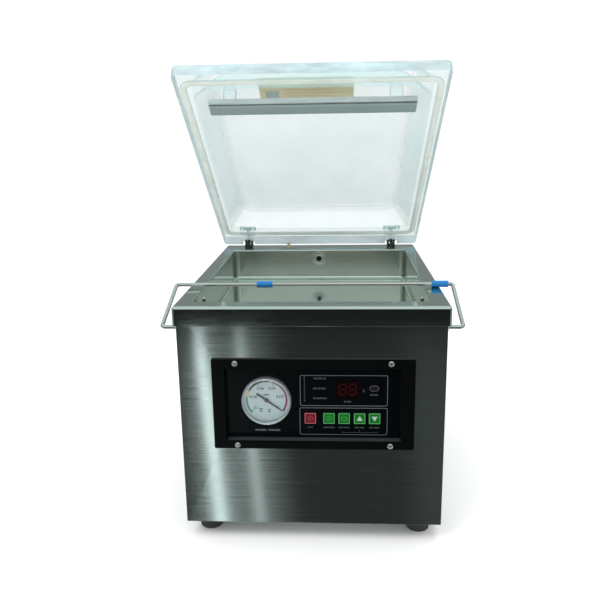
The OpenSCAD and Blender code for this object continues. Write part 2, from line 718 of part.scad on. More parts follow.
module cable_gland() color(black) difference() {
    union() {
        rod_y(gland_x, body_y1 - sheet - 6, gland_z, 8, 14);
        translate([gland_x, body_y1 - sheet - 5, gland_z]) rotate([-90, 0, 0])
            cylinder(h = 5, r = 11.5, $fn = 6);
        translate([gland_x, body_y1, gland_z]) rotate([-90, 0, 0]) cylinder(h = 4, r = 11.5, $fn = 6);
        translate([gland_x, body_y1 + 4, gland_z]) rotate([-90, 0, 0]) 
            cylinder(h = gland_end - body_y1 - 4, r1 = 9.6, r2 = 7.4);
    }
    rod_y(gland_x, body_y1 - sheet - 7, gland_z, gland_r, 30);
}

base_plate();
front_panel();
side_panel_left();
side_panel_right();
rear_panel();
panel_screws();
chamber_tank();
feet();
foot_screws();
control_bezel();
bezel_screws();
control_plate();
control_overlay();
gauge_case();
gauge_dial();
gauge_lens();
gauge_needle();
gauge_tube();
display_window();
display_module();
status_lamp();
control_board();
key_switches();
key_stop();
key_power();
key_set();
key_up();
key_down();
suction_port();
guide_posts();
post_nuts();
lift_bladder();
bladder_hose();
seal_bar();
heater_strip();
seal_cover();
hinge_brackets();
hinge_pins();
lid_springs();
spring_seats();
switch_housing();
switch_plunger();
bail_bushes();
bail_wire();
bail_sleeves();
bail_clips();
lid_shell();
lid_gasket();
lid_label();
counter_bar();
counter_pad();
counter_blocks();
hinge_leaves();
leaf_screws();
vacuum_pump();
pump_motor();
vacuum_hoses();
valve_block();
transformer();
cable_gland();
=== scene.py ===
import json
import math

import bmesh
import bpy
import numpy as np
from mathutils import Matrix, Vector


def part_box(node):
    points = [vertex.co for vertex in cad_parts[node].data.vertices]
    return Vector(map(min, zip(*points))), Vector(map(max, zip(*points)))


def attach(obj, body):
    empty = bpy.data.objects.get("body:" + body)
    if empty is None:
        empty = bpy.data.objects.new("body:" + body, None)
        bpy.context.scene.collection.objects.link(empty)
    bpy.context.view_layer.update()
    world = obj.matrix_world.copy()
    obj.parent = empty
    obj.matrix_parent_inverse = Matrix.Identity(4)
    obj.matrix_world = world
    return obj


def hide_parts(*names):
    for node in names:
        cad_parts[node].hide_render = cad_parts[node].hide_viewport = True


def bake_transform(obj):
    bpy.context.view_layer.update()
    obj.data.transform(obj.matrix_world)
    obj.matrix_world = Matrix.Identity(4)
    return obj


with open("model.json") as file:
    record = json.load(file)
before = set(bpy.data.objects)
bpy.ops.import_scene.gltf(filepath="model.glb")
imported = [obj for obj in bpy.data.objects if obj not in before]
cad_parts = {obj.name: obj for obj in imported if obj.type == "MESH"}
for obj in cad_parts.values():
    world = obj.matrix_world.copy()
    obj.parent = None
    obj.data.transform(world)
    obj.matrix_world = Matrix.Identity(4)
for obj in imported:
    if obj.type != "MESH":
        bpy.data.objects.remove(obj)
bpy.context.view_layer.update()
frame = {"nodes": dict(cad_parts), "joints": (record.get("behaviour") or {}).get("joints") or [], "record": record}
NODES = frame["nodes"]
JOINTS = {j["name"]: j for j in frame["joints"]}
BODY_OF = {n: b for b, names in frame["record"]["behaviour"]["bodies"].items() for n in names}
SLOT_OF = {s["node"]: s["material_slot"] for s in frame["record"]["subparts"]}
MM = 0.001


# ---- frame places ----

def lo(node):
    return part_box(node)[0]


def hi(node):
    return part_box(node)[1]


def centre(node):
    a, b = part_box(node)
    return (a + b) / 2


HINGE = Vector(JOINTS["lid_hinge"]["pos_m"])
LID_OPEN = math.radians(JOINTS["lid_hinge"]["range_deg"][1])
BAIL_PIVOT = Vector(JOINTS["bail_swing"]["pos_m"])
OPEN_LID = Matrix.Translation(HINGE) @ Matrix.Rotation(-LID_OPEN, 4, "X") @ Matrix.Translation(-HINGE)
CLOSE_LID = OPEN_LID.inverted()

HINGE_X = hi("hinge_brackets").x - 6.5 * MM
DECK_Z = hi("chamber_tank").z
DECK_X = hi("chamber_tank").x
DECK_Y0, DECK_Y1 = lo("chamber_tank").y, hi("chamber_tank").y
CHAMBER_REAR = DECK_Y1 - 53 * MM
PORT_HOLE = 7 * MM


def closed_box(node):
    """Corners of a node of the lid, with the lid turned back to closed."""
    co = np.array([tuple(CLOSE_LID @ v.co) for v in NODES[node].data.vertices])
    return Vector(co.min(0)), Vector(co.max(0))


# ---- mesh helpers ----

CREASE = 30.0  # degrees: a sharper edge than this is bevelled


def arc(steps, start=0.0, end=90.0):
    return [math.radians(start + (end - start) * k / steps) for k in range(steps + 1)]


def make(name, verts, faces, sharp=35.0):
    mesh = bpy.data.meshes.new(name)
    mesh.from_pydata([tuple(v) for v in verts], [], [tuple(f) for f in faces])
    bm = bmesh.new()
    bm.from_mesh(mesh)
    bmesh.ops.recalc_face_normals(bm, faces=bm.faces)
    bm.to_mesh(mesh)
    bm.free()
    mesh.validate()
    obj = bpy.data.objects.new(name, mesh)
    bpy.context.scene.collection.objects.link(obj)
    smooth(obj, sharp)
    return obj


def smooth(obj, sharp):
    obj.data.shade_smooth()
    obj.data.set_sharp_from_angle(angle=math.radians(sharp))


def join(name, objects):
    """One object from several; their meshes are merged and the others go."""
    bm = bmesh.new()
    for o in objects:
        part = o.data.copy()
        part.transform(o.matrix_world)
        bm.from_mesh(part)
        bpy.data.meshes.remove(part)
    mesh = bpy.data.meshes.new(name)
    bm.to_mesh(mesh)
    bm.free()
    for o in objects:
        bpy.data.objects.remove(o)
    obj = bpy.data.objects.new(name, mesh)
    bpy.context.scene.collection.objects.link(obj)
    return obj


def apply_modifiers(obj):
    bpy.context.view_layer.update()
    evaluated = obj.evaluated_get(bpy.context.evaluated_depsgraph_get())
    mesh = bpy.data.meshes.new_from_object(evaluated)
    obj.modifiers.clear()
    old = obj.data
    obj.data = mesh
    bpy.data.meshes.remove(old)
    return obj


def bevel(obj, width, segments):
    m = obj.modifiers.new("edges", "BEVEL")
    m.width, m.segments = width, segments
    m.limit_method, m.angle_limit = "ANGLE", math.radians(CREASE)
    m.miter_outer = "MITER_ARC"
    return obj


def cut(obj, cutter):
    m = obj.modifiers.new("cut", "BOOLEAN")
    m.operation, m.solver, m.object = "DIFFERENCE", "EXACT", cutter
    apply_modifiers(obj)
    bpy.data.objects.remove(cutter)
    return obj


def box_obj(name, a, b):
    x0, y0, z0 = a
    x1, y1, z1 = b
    verts = [(x, y, z) for z in (z0, z1) for y in (y0, y1) for x in (x0, x1)]
    faces = [(0, 2, 3, 1), (4, 5, 7, 6), (0, 1, 5, 4), (2, 6, 7, 3), (0, 4, 6, 2), (1, 3, 7, 5)]
    return make(name, verts, faces)


def loft(name, loops, closed=False, sharp=35.0):
    """Skin between loops of equal length; capped at both ends unless the loops close on themselves."""
    n = len(loops[0])
    verts = [p for loop in loops for p in loop]
    faces = []
    last = len(loops) if closed else len(loops) - 1
    for k in range(last):
        a, b = k * n, ((k + 1) % len(loops)) * n
        for i in range(n):
            j = (i + 1) % n
            faces.append((a + i, a + j, b + j, b + i))
    if not closed:
        faces.append(tuple(range(n - 1, -1, -1)))
        faces.append(tuple(range((len(loops) - 1) * n, len(loops) * n)))
    return make(name, verts, faces, sharp)


def round_rect(x0, x1, y0, y1, r, z, steps=9):
    """Loop of points round a rectangle with round corners, at height z."""
    r = max(min(r, (x1 - x0) / 2 - 1e-5, (y1 - y0) / 2 - 1e-5), 1e-5)
    points = []
    corners = ((x1 - r, y1 - r, 0), (x0 + r, y1 - r, 90), (x0 + r, y0 + r, 180), (x1 - r, y0 + r, 270))
    for cx, cy, start in corners:
        points += [(cx + r * math.cos(a), cy + r * math.sin(a), z) for a in arc(steps, start, start + 90)]
    return points


def lathe(name, profile, origin, axis, segments):
    """Turned solid from a line of (radius, distance along axis) points, closed or from radius 0 to 0."""
    turn = Vector((0, 0, 1)).rotation_difference(Vector(axis)).to_matrix()
    ring_shaped = profile[0][0] > 0
    loops = []
    for r, h in profile if ring_shaped else profile[1:-1]:
        ring = []
        for k in range(segments):
            a = 2 * math.pi * k / segments
            ring.append(turn @ Vector((r * math.cos(a), r * math.sin(a), h)) + Vector(origin))
        loops.append(ring)
    return loft(name, loops, closed=ring_shaped)


def turned(radius, h0, h1, edge=0.0, hole=0.0):
    """Profile of a disc or ring from h0 to h1 with rounded edges."""
    curve = [(edge * (1 - math.sin(a)), edge * (1 - math.cos(a))) for a in arc(3)]
    low = [(radius - dr, h0 + dh) for dr, dh in curve]
    high = [(radius - dr, h1 - dh) for dr, dh in reversed(curve)]
    if hole > 0:
        return [(hole, h0)] + low + high + [(hole, h1)]
    return [(0, h0)] + low + high + [(0, h1)]


def tube(name, points, radius, sides):
    """Round wire along a line of points."""
    pts = [Vector(p) for p in points]
    n = len(pts)
    tangents = [(pts[min(i + 1, n - 1)] - pts[max(i - 1, 0)]).normalized() for i in range(n)]
    normal = tangents[0].orthogonal().normalized()
    loops = []
    for i in range(n):
        if i:
            normal = tangents[i - 1].rotation_difference(tangents[i]) @ normal
        side = tangents[i].cross(normal).normalized()
        ring = []
        for k in range(sides):
            a = 2 * math.pi * k / sides
            ring.append(pts[i] + radius * (math.cos(a) * normal + math.sin(a) * side))
        loops.append(ring)
    return loft(name, loops, sharp=60.0)


def bend_path(corners, radius, steps):
    """The points of a line through corners, each inner corner rounded to radius."""
    pts = [Vector(p) for p in corners]
    out = [pts[0]]
    for a, b, c in zip(pts, pts[1:], pts[2:]):
        u, v = (a - b).normalized(), (c - b).normalized()
        half = u.angle(v) / 2
        t = radius / math.tan(half)
        mid = b + (u + v).normalized() * (radius / math.sin(half))
        start, end = b + u * t - mid, b + v * t - mid
        turn = start.angle(end)
        axis = start.cross(end).normalized()
        for k in range(steps + 1):
            out.append(mid + Matrix.Rotation(turn * k / steps, 3, axis) @ start)
    return out + [pts[-1]]


def put(obj, mat, body, slot, *nodes):
    """Gives a piece its material and body, and hides the CAD nodes it stands for. The slot argument is not used.
    """
    obj.data.materials.clear()
    obj.data.materials.append(mat)
    m = obj.modifiers.new("shading", "WEIGHTED_NORMAL")
    m.weight, m.keep_sharp = 80, True
    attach(obj, body)
    if nodes:
        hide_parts(*nodes)
    return obj


def stand_for(obj, node):
    return put(obj, MATS[SLOT_OF[node]], BODY_OF[node], SLOT_OF[node], node)


# nodes whose flat faces have holes, which dissolving would join across
PIERCED = ("control_bezel", "hinge_leaves", "seal_bar", "side_panel_left", "side_panel_right")


def refined(node, width, segments=2):
    """A copy of a CAD node with its edges rounded, in place of the node."""
    mesh = NODES[node].data.copy()
    bm = bmesh.new()
    bm.from_mesh(mesh)
    bmesh.ops.remove_doubles(bm, verts=bm.verts, dist=2e-6)
    if node not in PIERCED:
        bmesh.ops.dissolve_limit(bm, angle_limit=math.radians(0.6), verts=bm.verts, edges=bm.edges)
    bm.to_mesh(mesh)
    bm.free()
    obj = bpy.data.objects.new(node + "_finish", mesh)
    bpy.context.scene.collection.objects.link(obj)
    smooth(obj, CREASE)
    return stand_for(bevel(obj, width, segments), node)


# ---- materials ----

def group(mat):
    nt = mat.node_tree
    return nt, nt.nodes["Principled BSDF"]


def coords(nt, stretch):
    tc = nt.nodes.new("ShaderNodeTexCoord")
    mp = nt.nodes.new("ShaderNodeMapping")
    mp.inputs["Scale"].default_value = stretch
    nt.links.new(tc.outputs["Object"], mp.inputs["Vector"])
    return mp.outputs["Vector"]


def noise(nt, vector, scale, detail=4.0):
    n = nt.nodes.new("ShaderNodeTexNoise")
    n.inputs["Scale"].default_value = scale
    n.inputs["Detail"].default_value = detail
    n.inputs["Roughness"].default_value = 0.55
    nt.links.new(vector, n.inputs["Vector"])
    return n.outputs["Fac"]


def ranged(nt, value, low, high, start=0.3, end=0.7):
    m = nt.nodes.new("ShaderNodeMapRange")
    for key, v in (("From Min", start), ("From Max", end), ("To Min", low), ("To Max", high)):
        m.inputs[key].default_value = v
    nt.links.new(value, m.inputs["Value"])
    return m.outputs["Result"]


def mixed(nt, factor, dark, light):
    m = nt.nodes.new("ShaderNodeMix")
    m.data_type = "RGBA"
    m.inputs["A"].default_value = (*dark, 1)
    m.inputs["B"].default_value = (*light, 1)
    nt.links.new(factor, m.inputs["Factor"])
    return m.outputs["Result"]


def maths(nt, operation, *values, clamp=False):
    """Math node; its values are numbers or outputs of other nodes."""
    m = nt.nodes.new("ShaderNodeMath")
    m.operation, m.use_clamp = operation, clamp
    for socket, value in zip(m.inputs, values):
        if isinstance(value, float):
            socket.default_value = value
        else:
            nt.links.new(value, socket)
    return m.outputs[0]


def bumped(nt, bsdf, height, strength, distance):
    b = nt.nodes.new("ShaderNodeBump")
    b.inputs["Strength"].default_value = strength
    b.inputs["Distance"].default_value = distance
    nt.links.new(height, b.inputs["Height"])
    nt.links.new(b.outputs["Normal"], bsdf.inputs["Normal"])


def shade(colour, k):
    return tuple(min(1.0, c * k) for c in colour)


def surface(name, colour, metal, rough, vary, dr, grain, bump, depth=0.0001, stretch=(1, 1, 1), mottle=12.0,
            **sockets):
    """Procedural finish: colour mottled at two scales, roughness and bump from the finer one."""
    mat = bpy.data.materials.new(name)
    mat.use_nodes = True
    nt, bsdf = group(mat)
    fine = noise(nt, coords(nt, stretch), grain)
    broad = noise(nt, coords(nt, (1, 1, 1)), mottle, 3.0)
    both = ranged(nt, maths(nt, "ADD", fine, broad), 0.0, 1.0, 0.7, 1.3)
    tone = mixed(nt, both, shade(colour, 1 - vary), shade(colour, 1 + vary))
    nt.links.new(tone, bsdf.inputs["Base Color"])
    nt.links.new(ranged(nt, fine, max(0.02, rough - dr), min(1.0, rough + dr)), bsdf.inputs["Roughness"])
    bsdf.inputs["Metallic"].default_value = metal
    for key, value in sockets.items():
        bsdf.inputs[key.replace("_", " ")].default_value = value
    if bump:
        bumped(nt, bsdf, fine, bump, depth)
    return mat


def inked(name, colour, vary=0.06, rough=0.5, grain=1500.0):
    """Print: thin matt ink without any grain of its own."""
    return surface(name, colour, 0.0, rough, vary, 0.05, grain, 0.0)


def brushed(name, colour, rough, grain, stretch, bump, aniso, vary):
    """Steel brushed in one direction, its highlights drawn out across the brushing."""
    mat = surface(name, colour, 1.0, rough, vary, 0.03, grain, bump, 0.00003, stretch, 5.0, Anisotropic=aniso)
    nt, bsdf = group(mat)
    t = nt.nodes.new("ShaderNodeTangent")
    t.direction_type, t.axis = "RADIAL", "Z"
    bsdf.inputs["Anisotropic Rotation"].default_value = 0.25
    nt.links.new(t.outputs["Tangent"], bsdf.inputs["Tangent"])
    return mat


def woven(name, colour, rough, threads):
    """Coated cloth: two crossed sets of threads."""
    mat = surface(name, colour, 0.0, rough, 0.15, 0.05, 900.0, 0.0)
    nt, bsdf = group(mat)
    at = coords(nt, (1, 1, 1))
    waves = []
    for axis in ("X", "Y"):
        w = nt.nodes.new("ShaderNodeTexWave")
        w.bands_direction = axis
        w.inputs["Scale"].default_value = threads
        nt.links.new(at, w.inputs["Vector"])
        waves.append(w.outputs["Fac"])
    bumped(nt, bsdf, maths(nt, "MAXIMUM", *waves), 0.5, 0.0001)
    return mat


def clear(name, tint, rough, ior, weight=1.0):
    """Clear glass or hose, with very faint waviness and handling marks."""
    return surface(name, tint, 0.0, rough, 0.01, 0.02, 120.0, 0.04, 0.0001, (1, 1, 1), 9.0,
                   Transmission_Weight=weight, IOR=ior)


def acrylic(name, body, face_on, edge_on, vary=0.03):
    """Clear moulded acrylic: shows what is behind it, and closes up towards grazing angles."""
    mat = surface(name, body, 0.0, 0.08, vary, 0.03, 90.0, 0.05, 0.0002, (0.3, 1, 1), 14.0, IOR=1.35)
    nt, bsdf = group(mat)
    weight = nt.nodes.new("ShaderNodeLayerWeight")
    weight.inputs["Blend"].default_value = 0.42
    cloud = noise(nt, coords(nt, (1, 1, 0.4)), 14.0, 3.0)
    base = ranged(nt, weight.outputs["Facing"], face_on, edge_on, 0.25, 0.95)
    nt.links.new(maths(nt, "MULTIPLY", base, ranged(nt, cloud, 0.85, 1.15), clamp=True), bsdf.inputs["Alpha"])
    return mat


# name, colour, and then the values of surface() in their order: metal, rough, vary, dr, grain, bump ...
FINISHES = (
    ("tank_steel", (0.60, 0.64, 0.60), 1.0, 0.08, 0.06, 0.025, 900.0, 0.03, 0.00003, (0.05, 1.0, 1.0), 5.0),
    ("screw_steel", (0.66, 0.67, 0.66), 1.0, 0.22, 0.06, 0.06, 900.0, 0.08),
    ("foot_rubber", (0.035, 0.035, 0.035), 0.0, 0.75, 0.2, 0.08, 1500.0, 0.3),
    ("bezel_black", (0.0007, 0.0012, 0.0013), 0.0, 0.34, 0.25, 0.08, 1800.0, 0.12),
    ("plate_black", (0.03, 0.03, 0.032), 0.0, 0.45, 0.2, 0.05, 1500.0, 0.1),
    ("overlay_film", (0.0006, 0.0014, 0.0021), 0.0, 0.22, 0.25, 0.06, 1400.0, 0.06),
    ("gauge_chrome", (0.62, 0.68, 0.70), 0.75, 0.16, 0.04, 0.03, 700.0, 0.03),
    ("dial_white", (0.52, 0.64, 0.68), 0.0, 0.5, 0.03, 0.05, 800.0, 0.04),
    ("needle_black", (0.003, 0.003, 0.004), 0.0, 0.35, 0.2, 0.05, 1500.0, 0.05),
    ("display_red", (0.003, 0.0010, 0.0014), 0.0, 0.12, 0.2, 0.04, 900.0, 0.03),
    ("module_grey", (0.04, 0.04, 0.043), 0.0, 0.5, 0.15, 0.08, 1200.0, 0.1),
    ("lamp_red", (0.012, 0.006, 0.006), 0.0, 0.18, 0.15, 0.05, 900.0, 0.04),
    ("board_green", (0.015, 0.12, 0.04), 0.0, 0.4, 0.2, 0.1, 700.0, 0.1),
    ("key_red", (0.13, 0.002, 0.012), 0.0, 0.33, 0.10, 0.06, 1600.0, 0.10),
    ("key_green", (0.001, 0.115, 0.006), 0.0, 0.33, 0.10, 0.06, 1600.0, 0.10),
    ("bladder_rubber", (0.52, 0.47, 0.38), 0.0, 0.6, 0.12, 0.08, 900.0, 0.25),
    ("bar_aluminium", (0.62, 0.63, 0.64), 1.0, 0.34, 0.07, 0.07, 900.0, 0.2, 0.00004, (0.03, 1, 1)),
    ("heater_alloy", (0.42, 0.38, 0.33), 1.0, 0.33, 0.12, 0.08, 900.0, 0.15),
    ("hinge_black", (0.014, 0.014, 0.014), 0.0, 0.42, 0.25, 0.08, 1500.0, 0.25),
    ("spring_steel", (0.32, 0.32, 0.33), 1.0, 0.35, 0.10, 0.08, 900.0, 0.1),
    ("switch_brass", (0.62, 0.46, 0.18), 1.0, 0.28, 0.10, 0.08, 900.0, 0.12),
    ("plunger_cap", (0.55, 0.50, 0.36), 0.0, 0.35, 0.10, 0.06, 1200.0, 0.1),
    ("bush_nylon", (0.72, 0.72, 0.69), 0.0, 0.45, 0.05, 0.06, 1200.0, 0.08),
    ("sleeve_blue", (0.002, 0.17, 0.47), 0.0, 0.38, 0.10, 0.07, 1300.0, 0.15),
    ("clip_rubber", (0.03, 0.03, 0.03), 0.0, 0.7, 0.2, 0.06, 1500.0, 0.2),
    ("label_paper", (0.76, 0.63, 0.37), 0.0, 0.45, 0.08, 0.08, 1200.0, 0.08),
    # strong broad mottle in the bar's colour: painted reflection, lighter and darker patches along the bar
    ("counter_chrome", (0.60, 0.62, 0.62), 0.85, 0.12, 0.28, 0.05, 900.0, 0.08, 0.00003, (0.03, 1, 1), 7.0),
    ("pad_silicone", (0.22, 0.29, 0.28), 0.0, 0.55, 0.08, 0.07, 900.0, 0.2),
    ("pump_paint", (0.05, 0.085, 0.13), 0.0, 0.4, 0.15, 0.08, 500.0, 0.3),
    ("motor_paint", (0.03, 0.035, 0.04), 0.0, 0.45, 0.15, 0.08, 500.0, 0.3),
    ("hose_rubber", (0.035, 0.033, 0.03), 0.0, 0.65, 0.2, 0.08, 900.0, 0.3),
    ("valve_aluminium", (0.55, 0.56, 0.57), 1.0, 0.4, 0.08, 0.08, 700.0, 0.2),
    ("transformer_iron", (0.10, 0.07, 0.05), 0.3, 0.5, 0.2, 0.08, 700.0, 0.3, 0.0001, (1, 1, 12)),
    ("gland_nylon", (0.02, 0.02, 0.02), 0.0, 0.45, 0.2, 0.06, 1300.0, 0.15),
)
MATS = {row[0]: surface(*row) for row in FINISHES}
for dull in ("bezel_black", "overlay_film", "display_red", "key_red", "key_green"):
    group(MATS[dull])[1].inputs["Specular IOR Level"].default_value = 0.2
MATS.update(
    cabinet_steel=brushed("cabinet_steel", (0.47, 0.49, 0.475), 0.10, 1300.0, (0.008, 0.008, 1.0), 0.04,
                          0.9, 0.16),
    gauge_glass=clear("gauge_glass", (0.97, 0.99, 0.98), 0.03, 1.45),
    clear_tube=clear("clear_tube", (0.86, 0.90, 0.90), 0.12, 1.4, 0.7),
    seal_tape=woven("seal_tape", (0.24, 0.12, 0.045), 0.42, 260.0),
    bail_steel=brushed("bail_steel", (0.60, 0.61, 0.60), 0.22, 900.0, (1, 1, 1), 0.1, 0.0, 0.05),
    lid_acrylic=acrylic("lid_acrylic", (0.46, 0.70, 0.70), 0.14, 0.60),
    gasket_silicone=acrylic("gasket_silicone", (0.72, 0.76, 0.71), 0.50, 0.92, 0.10),
)
PRINT_GREY = inked("print_grey", (0.10, 0.115, 0.135), 0.08)
PRINT_DIM = inked("print_dim", (0.040, 0.050, 0.054), rough=0.6)
PRINT_PALE = inked("print_pale", (0.30, 0.42, 0.36))
PRINT_DARK = inked("print_dark", (0.02, 0.022, 0.025), 0.1)
SILL_GREY = surface("sill_grey", (0.035, 0.045, 0.05), 0.0, 0.4, 0.06, 0.06, 1500.0, 0.05)
# lighter, rougher copy of the tank steel for the chamber's rear wall: painted light
TANK_REAR_LIT = surface("tank_rear_painted_light", (0.68, 0.72, 0.67), 1.0, 0.17, 0.05, 0.03, 900.0, 0.03, 0.00003,
                      (0.05, 1.0, 1.0), 5.0)
SAWN_EDGE = acrylic("acrylic_edge", (0.33, 0.44, 0.47), 0.66, 0.76, 0.35)
# near-white, nearly opaque copy of the sawn edge for the hinge notches: painted highlight
NOTCH_HIGHLIGHT = acrylic("acrylic_notch_painted_highlight", (0.80, 0.84, 0.84), 0.80, 0.85)
# whiter and more opaque than the clear sheet: painted highlight along the dome's curved bends
DOME_BEND_HIGHLIGHT = acrylic("acrylic_bend_painted_highlight", (0.72, 0.82, 0.82), 0.26, 0.60)
LEAF_STEEL = surface("leaf_steel", (0.90, 0.93, 0.93), 0.0, 0.3, 0.05, 0.05, 900.0, 0.08)
BORDER_INK = {"key_red": inked("border_red", (0.46, 0.17, 0.19)),
              "key_green": inked("border_green", (0.14, 0.40, 0.20))}
SIGN_INK = {"key_red": inked("sign_red", (0.33, 0.05, 0.06)),
            "key_green": inked("sign_green", (0.03, 0.27, 0.05))}
LABEL_BLUE = inked("label_blue", (0.38, 0.42, 0.42), 0.1, grain=900.0)
LABEL_INK = inked("label_ink", (0.64, 0.50, 0.29), 0.1, grain=900.0)
DIAL_GREEN = inked("dial_green", (0.02, 0.24, 0.11), 0.05, grain=900.0)
DIAL_YELLOW = inked("dial_yellow", (0.62, 0.52, 0.08), 0.05, grain=900.0)
DIAL_CRIMSON = inked("dial_crimson", (0.26, 0.006, 0.07), 0.05, grain=900.0)
LIT_RED = (0.020, 0.0006, 0.0014)
DIGIT_LIT = surface("digit_lit", LIT_RED, 0.0, 0.4, 0.1, 0.05, 1500.0, 0.0, Specular_IOR_Level=0.1,
                    Emission_Color=(*LIT_RED, 1), Emission_Strength=0.4)

for node, obj in NODES.items():
    for slot in obj.material_slots:
        slot.material = MATS[SLOT_OF[node]]


# ---- camera ----

def make_camera():
    """A 41.5 mm lens 0.78 m in front of the deck and a little to the right, looking 14 degrees down."""
    data = bpy.data.cameras.new("camera")
    cam = bpy.data.objects.new("camera", data)
    bpy.context.scene.collection.objects.link(cam)
    yaw, pitch, roll = math.radians(-3.27), math.radians(14.12), math.radians(-0.90)
    ahead = Vector((math.sin(yaw) * math.cos(pitch), math.cos(yaw) * math.cos(pitch), -math.sin(pitch)))
    right = Vector((math.cos(yaw), -math.sin(yaw), 0))
    up = right.cross(ahead)
    r2 = right * math.cos(roll) + up * math.sin(roll)
    u2 = -right * math.sin(roll) + up * math.cos(roll)
    m = Matrix((r2, u2, -ahead)).transposed().to_4x4()
    m.translation = Vector((0.0328, DECK_Y0 - 0.7807, DECK_Z + 0.205))
    cam.matrix_world = m
    data.sensor_width, data.lens = 36.0, 41.51
    data.clip_start, data.clip_end = 0.01, 100.0
    bpy.context.scene.camera = cam


make_camera()


# ---- chamber and cabinet ----

def build_tank():
    """Deck with rounded edge and skirt, rolled rim, and the basin with rounded bends, one closed sheet."""
    x, y0, y1, top = DECK_X, DECK_Y0, DECK_Y1, DECK_Z
    t = 1.5 * MM
    z_skirt = hi("front_panel").z + 2 * MM - 24 * MM
    edge, rim, bend, corner = 3.5 * MM, 2.2 * MM, 5 * MM, 8 * MM
    floor = lo("lift_bladder").z + 9 * MM
    bx = 144 * MM
    by0, by1 = y0 + 26.6 * MM, CHAMBER_REAR

    def outer(inset, z, r=3.5 * MM):
        return round_rect(-x + inset, x - inset, y0 + inset, y1 - inset, max(r - inset, 0.4 * MM), z)

    def basin(grow, z):
        return round_rect(-bx - grow, bx + grow, by0 - grow, by1 + grow, corner + grow, z)

    loops = [basin(-bend, floor)]
    loops += [basin(-bend * (1 - math.sin(a)), floor + bend * (1 - math.cos(a))) for a in arc(7)[1:]]
    loops += [basin(rim * (1 - math.cos(a)), top - rim + rim * math.sin(a)) for a in arc(6)]
    loops += [outer(edge * (1 - math.sin(a)), top - edge * (1 - math.cos(a))) for a in arc(7)]
    loops += [outer(0, z_skirt + 0.4 * MM), outer(0.4 * MM, z_skirt), outer(t, z_skirt)]
    loops += [outer(t, top - t - 1 * MM), basin(t, top - t - 1 * MM), basin(t, floor + bend)]
    loops += [basin(t - bend, floor - t)]
    tank = loft("chamber_tank_finish", loops, sharp=40)
    for slot_x in (-HINGE_X, HINGE_X):
        cut(tank, box_obj("cutter", (slot_x - 2.75 * MM, HINGE.y - 32 * MM, top - 5 * MM),
                          (slot_x + 2.75 * MM, HINGE.y + 4 * MM, top + 1 * MM)))
    port = centre("suction_port")
    cut(tank, lathe("cutter", turned(PORT_HOLE, 0, 10 * MM), (0, by1 - 5 * MM, port.z), (0, 1, 0), 32))
    smooth(tank, 40)
    stand_for(tank, "chamber_tank").data.materials.append(TANK_REAR_LIT)
    # the basin's rear wall gets the lighter steel copy: painted light
    for face in tank.data.polygons:
        c = face.center
        lit_rear_wall = by1 - corner / 2 < c.y < by1 + t / 2 and floor + bend / 2 < c.z < top - rim
        face.material_index = int(lit_rear_wall and abs(c.x) < bx)


def build_cabinet():
    """Front sheet with rounded edges and the bezel's opening, and the side sheets."""
    a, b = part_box("front_panel")
    bezel = centre("control_bezel")
    e = 0.5 * MM
    hole = (bezel.x - 110 * MM, bezel.x + 110 * MM, bezel.z - 51 * MM, bezel.z + 46 * MM)

    def edge(rect, y):
        x0, x1, z0, z1 = rect
        return [(px, y, pz) for px, pz, _ in round_rect(x0, x1, z0, z1, 0.3 * MM, 0, 2)]

    full = (a.x, b.x, a.z, b.z)
    less = (a.x + e, b.x - e, a.z + e, b.z - e)
    near = (a.x + e * 0.3, b.x - e * 0.3, a.z + e * 0.3, b.z - e * 0.3)
    loops = [edge(less, a.y), edge(near, a.y + e * 0.3), edge(full, a.y + e), edge(full, b.y),
             edge(hole, b.y), edge(hole, a.y)]
    stand_for(loft("front_panel_finish", loops, closed=True, sharp=40), "front_panel")
    for node in ("side_panel_left", "side_panel_right"):
        refined(node, 0.5 * MM, 3)


def build_port():
    """Tube through the rear wall, with a turned flange on the chamber's side."""
    a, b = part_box("suction_port")
    hole, bore = PORT_HOLE, 4.4 * MM
    tip = CHAMBER_REAR - 2.2 * MM
    length = b.y - tip
    profile = [(bore, 0), (hole - 0.6 * MM, 0), (hole, 0.6 * MM), (hole + 0.5 * MM, 1.4 * MM),
               (11.4 * MM, 1.6 * MM), (12 * MM, 2.2 * MM), (hole, 2.2 * MM), (hole, length), (bore, length)]
    x, z = (a.x + b.x) / 2, (a.z + b.z) / 2
    stand_for(lathe("suction_port_finish", profile, (x, tip, z), (0, 1, 0), 48), "suction_port")


def build_feet():
    """Four turned rubber feet with a hollow underneath."""
    x, front, rear = hi("feet").x - 17.5 * MM, -185 * MM, 178 * MM
    profile = [(6 * MM, 0.4 * MM), (6.4 * MM, 0), (13.6 * MM, 0), (14.5 * MM, 0.9 * MM), (15.3 * MM, 7 * MM),
               (16.6 * MM, 15 * MM), (17.4 * MM, 21.5 * MM), (16.4 * MM, 23 * MM), (6 * MM, 23 * MM)]
    places = ((-x, front), (-x, rear), (x, front), (x, rear))
    feet = [lathe("foot", profile, (*place, 0), (0, 0, 1), 40) for place in places]
    stand_for(join("feet_finish", feet), "feet")


build_tank()
build_port()
build_cabinet()
build_feet()


# ---- screws ----

def pan_head(radius, height):
    """Pan head with a cross recess, its seat at z = 0 and its top towards +Z."""
    dome = [(radius * math.sin(a), height * (0.45 + 0.55 * math.cos(a))) for a in arc(6, 8, 78)]
    profile = [(0, 0), (radius, 0), (radius, height * 0.35)] + dome[::-1] + [(0, height)]
    head = lathe("head", profile, (0, 0, 0), (0, 0, 1), 28)
    for w, l in ((0.20, 0.66), (0.66, 0.20)):
        a = Vector((w * radius, l * radius, height * 0.45))
        cut(head, box_obj("cutter", (-a.x, -a.y, a.z), (a.x, a.y, height * 2)))
    smooth(head, 40)
    return head


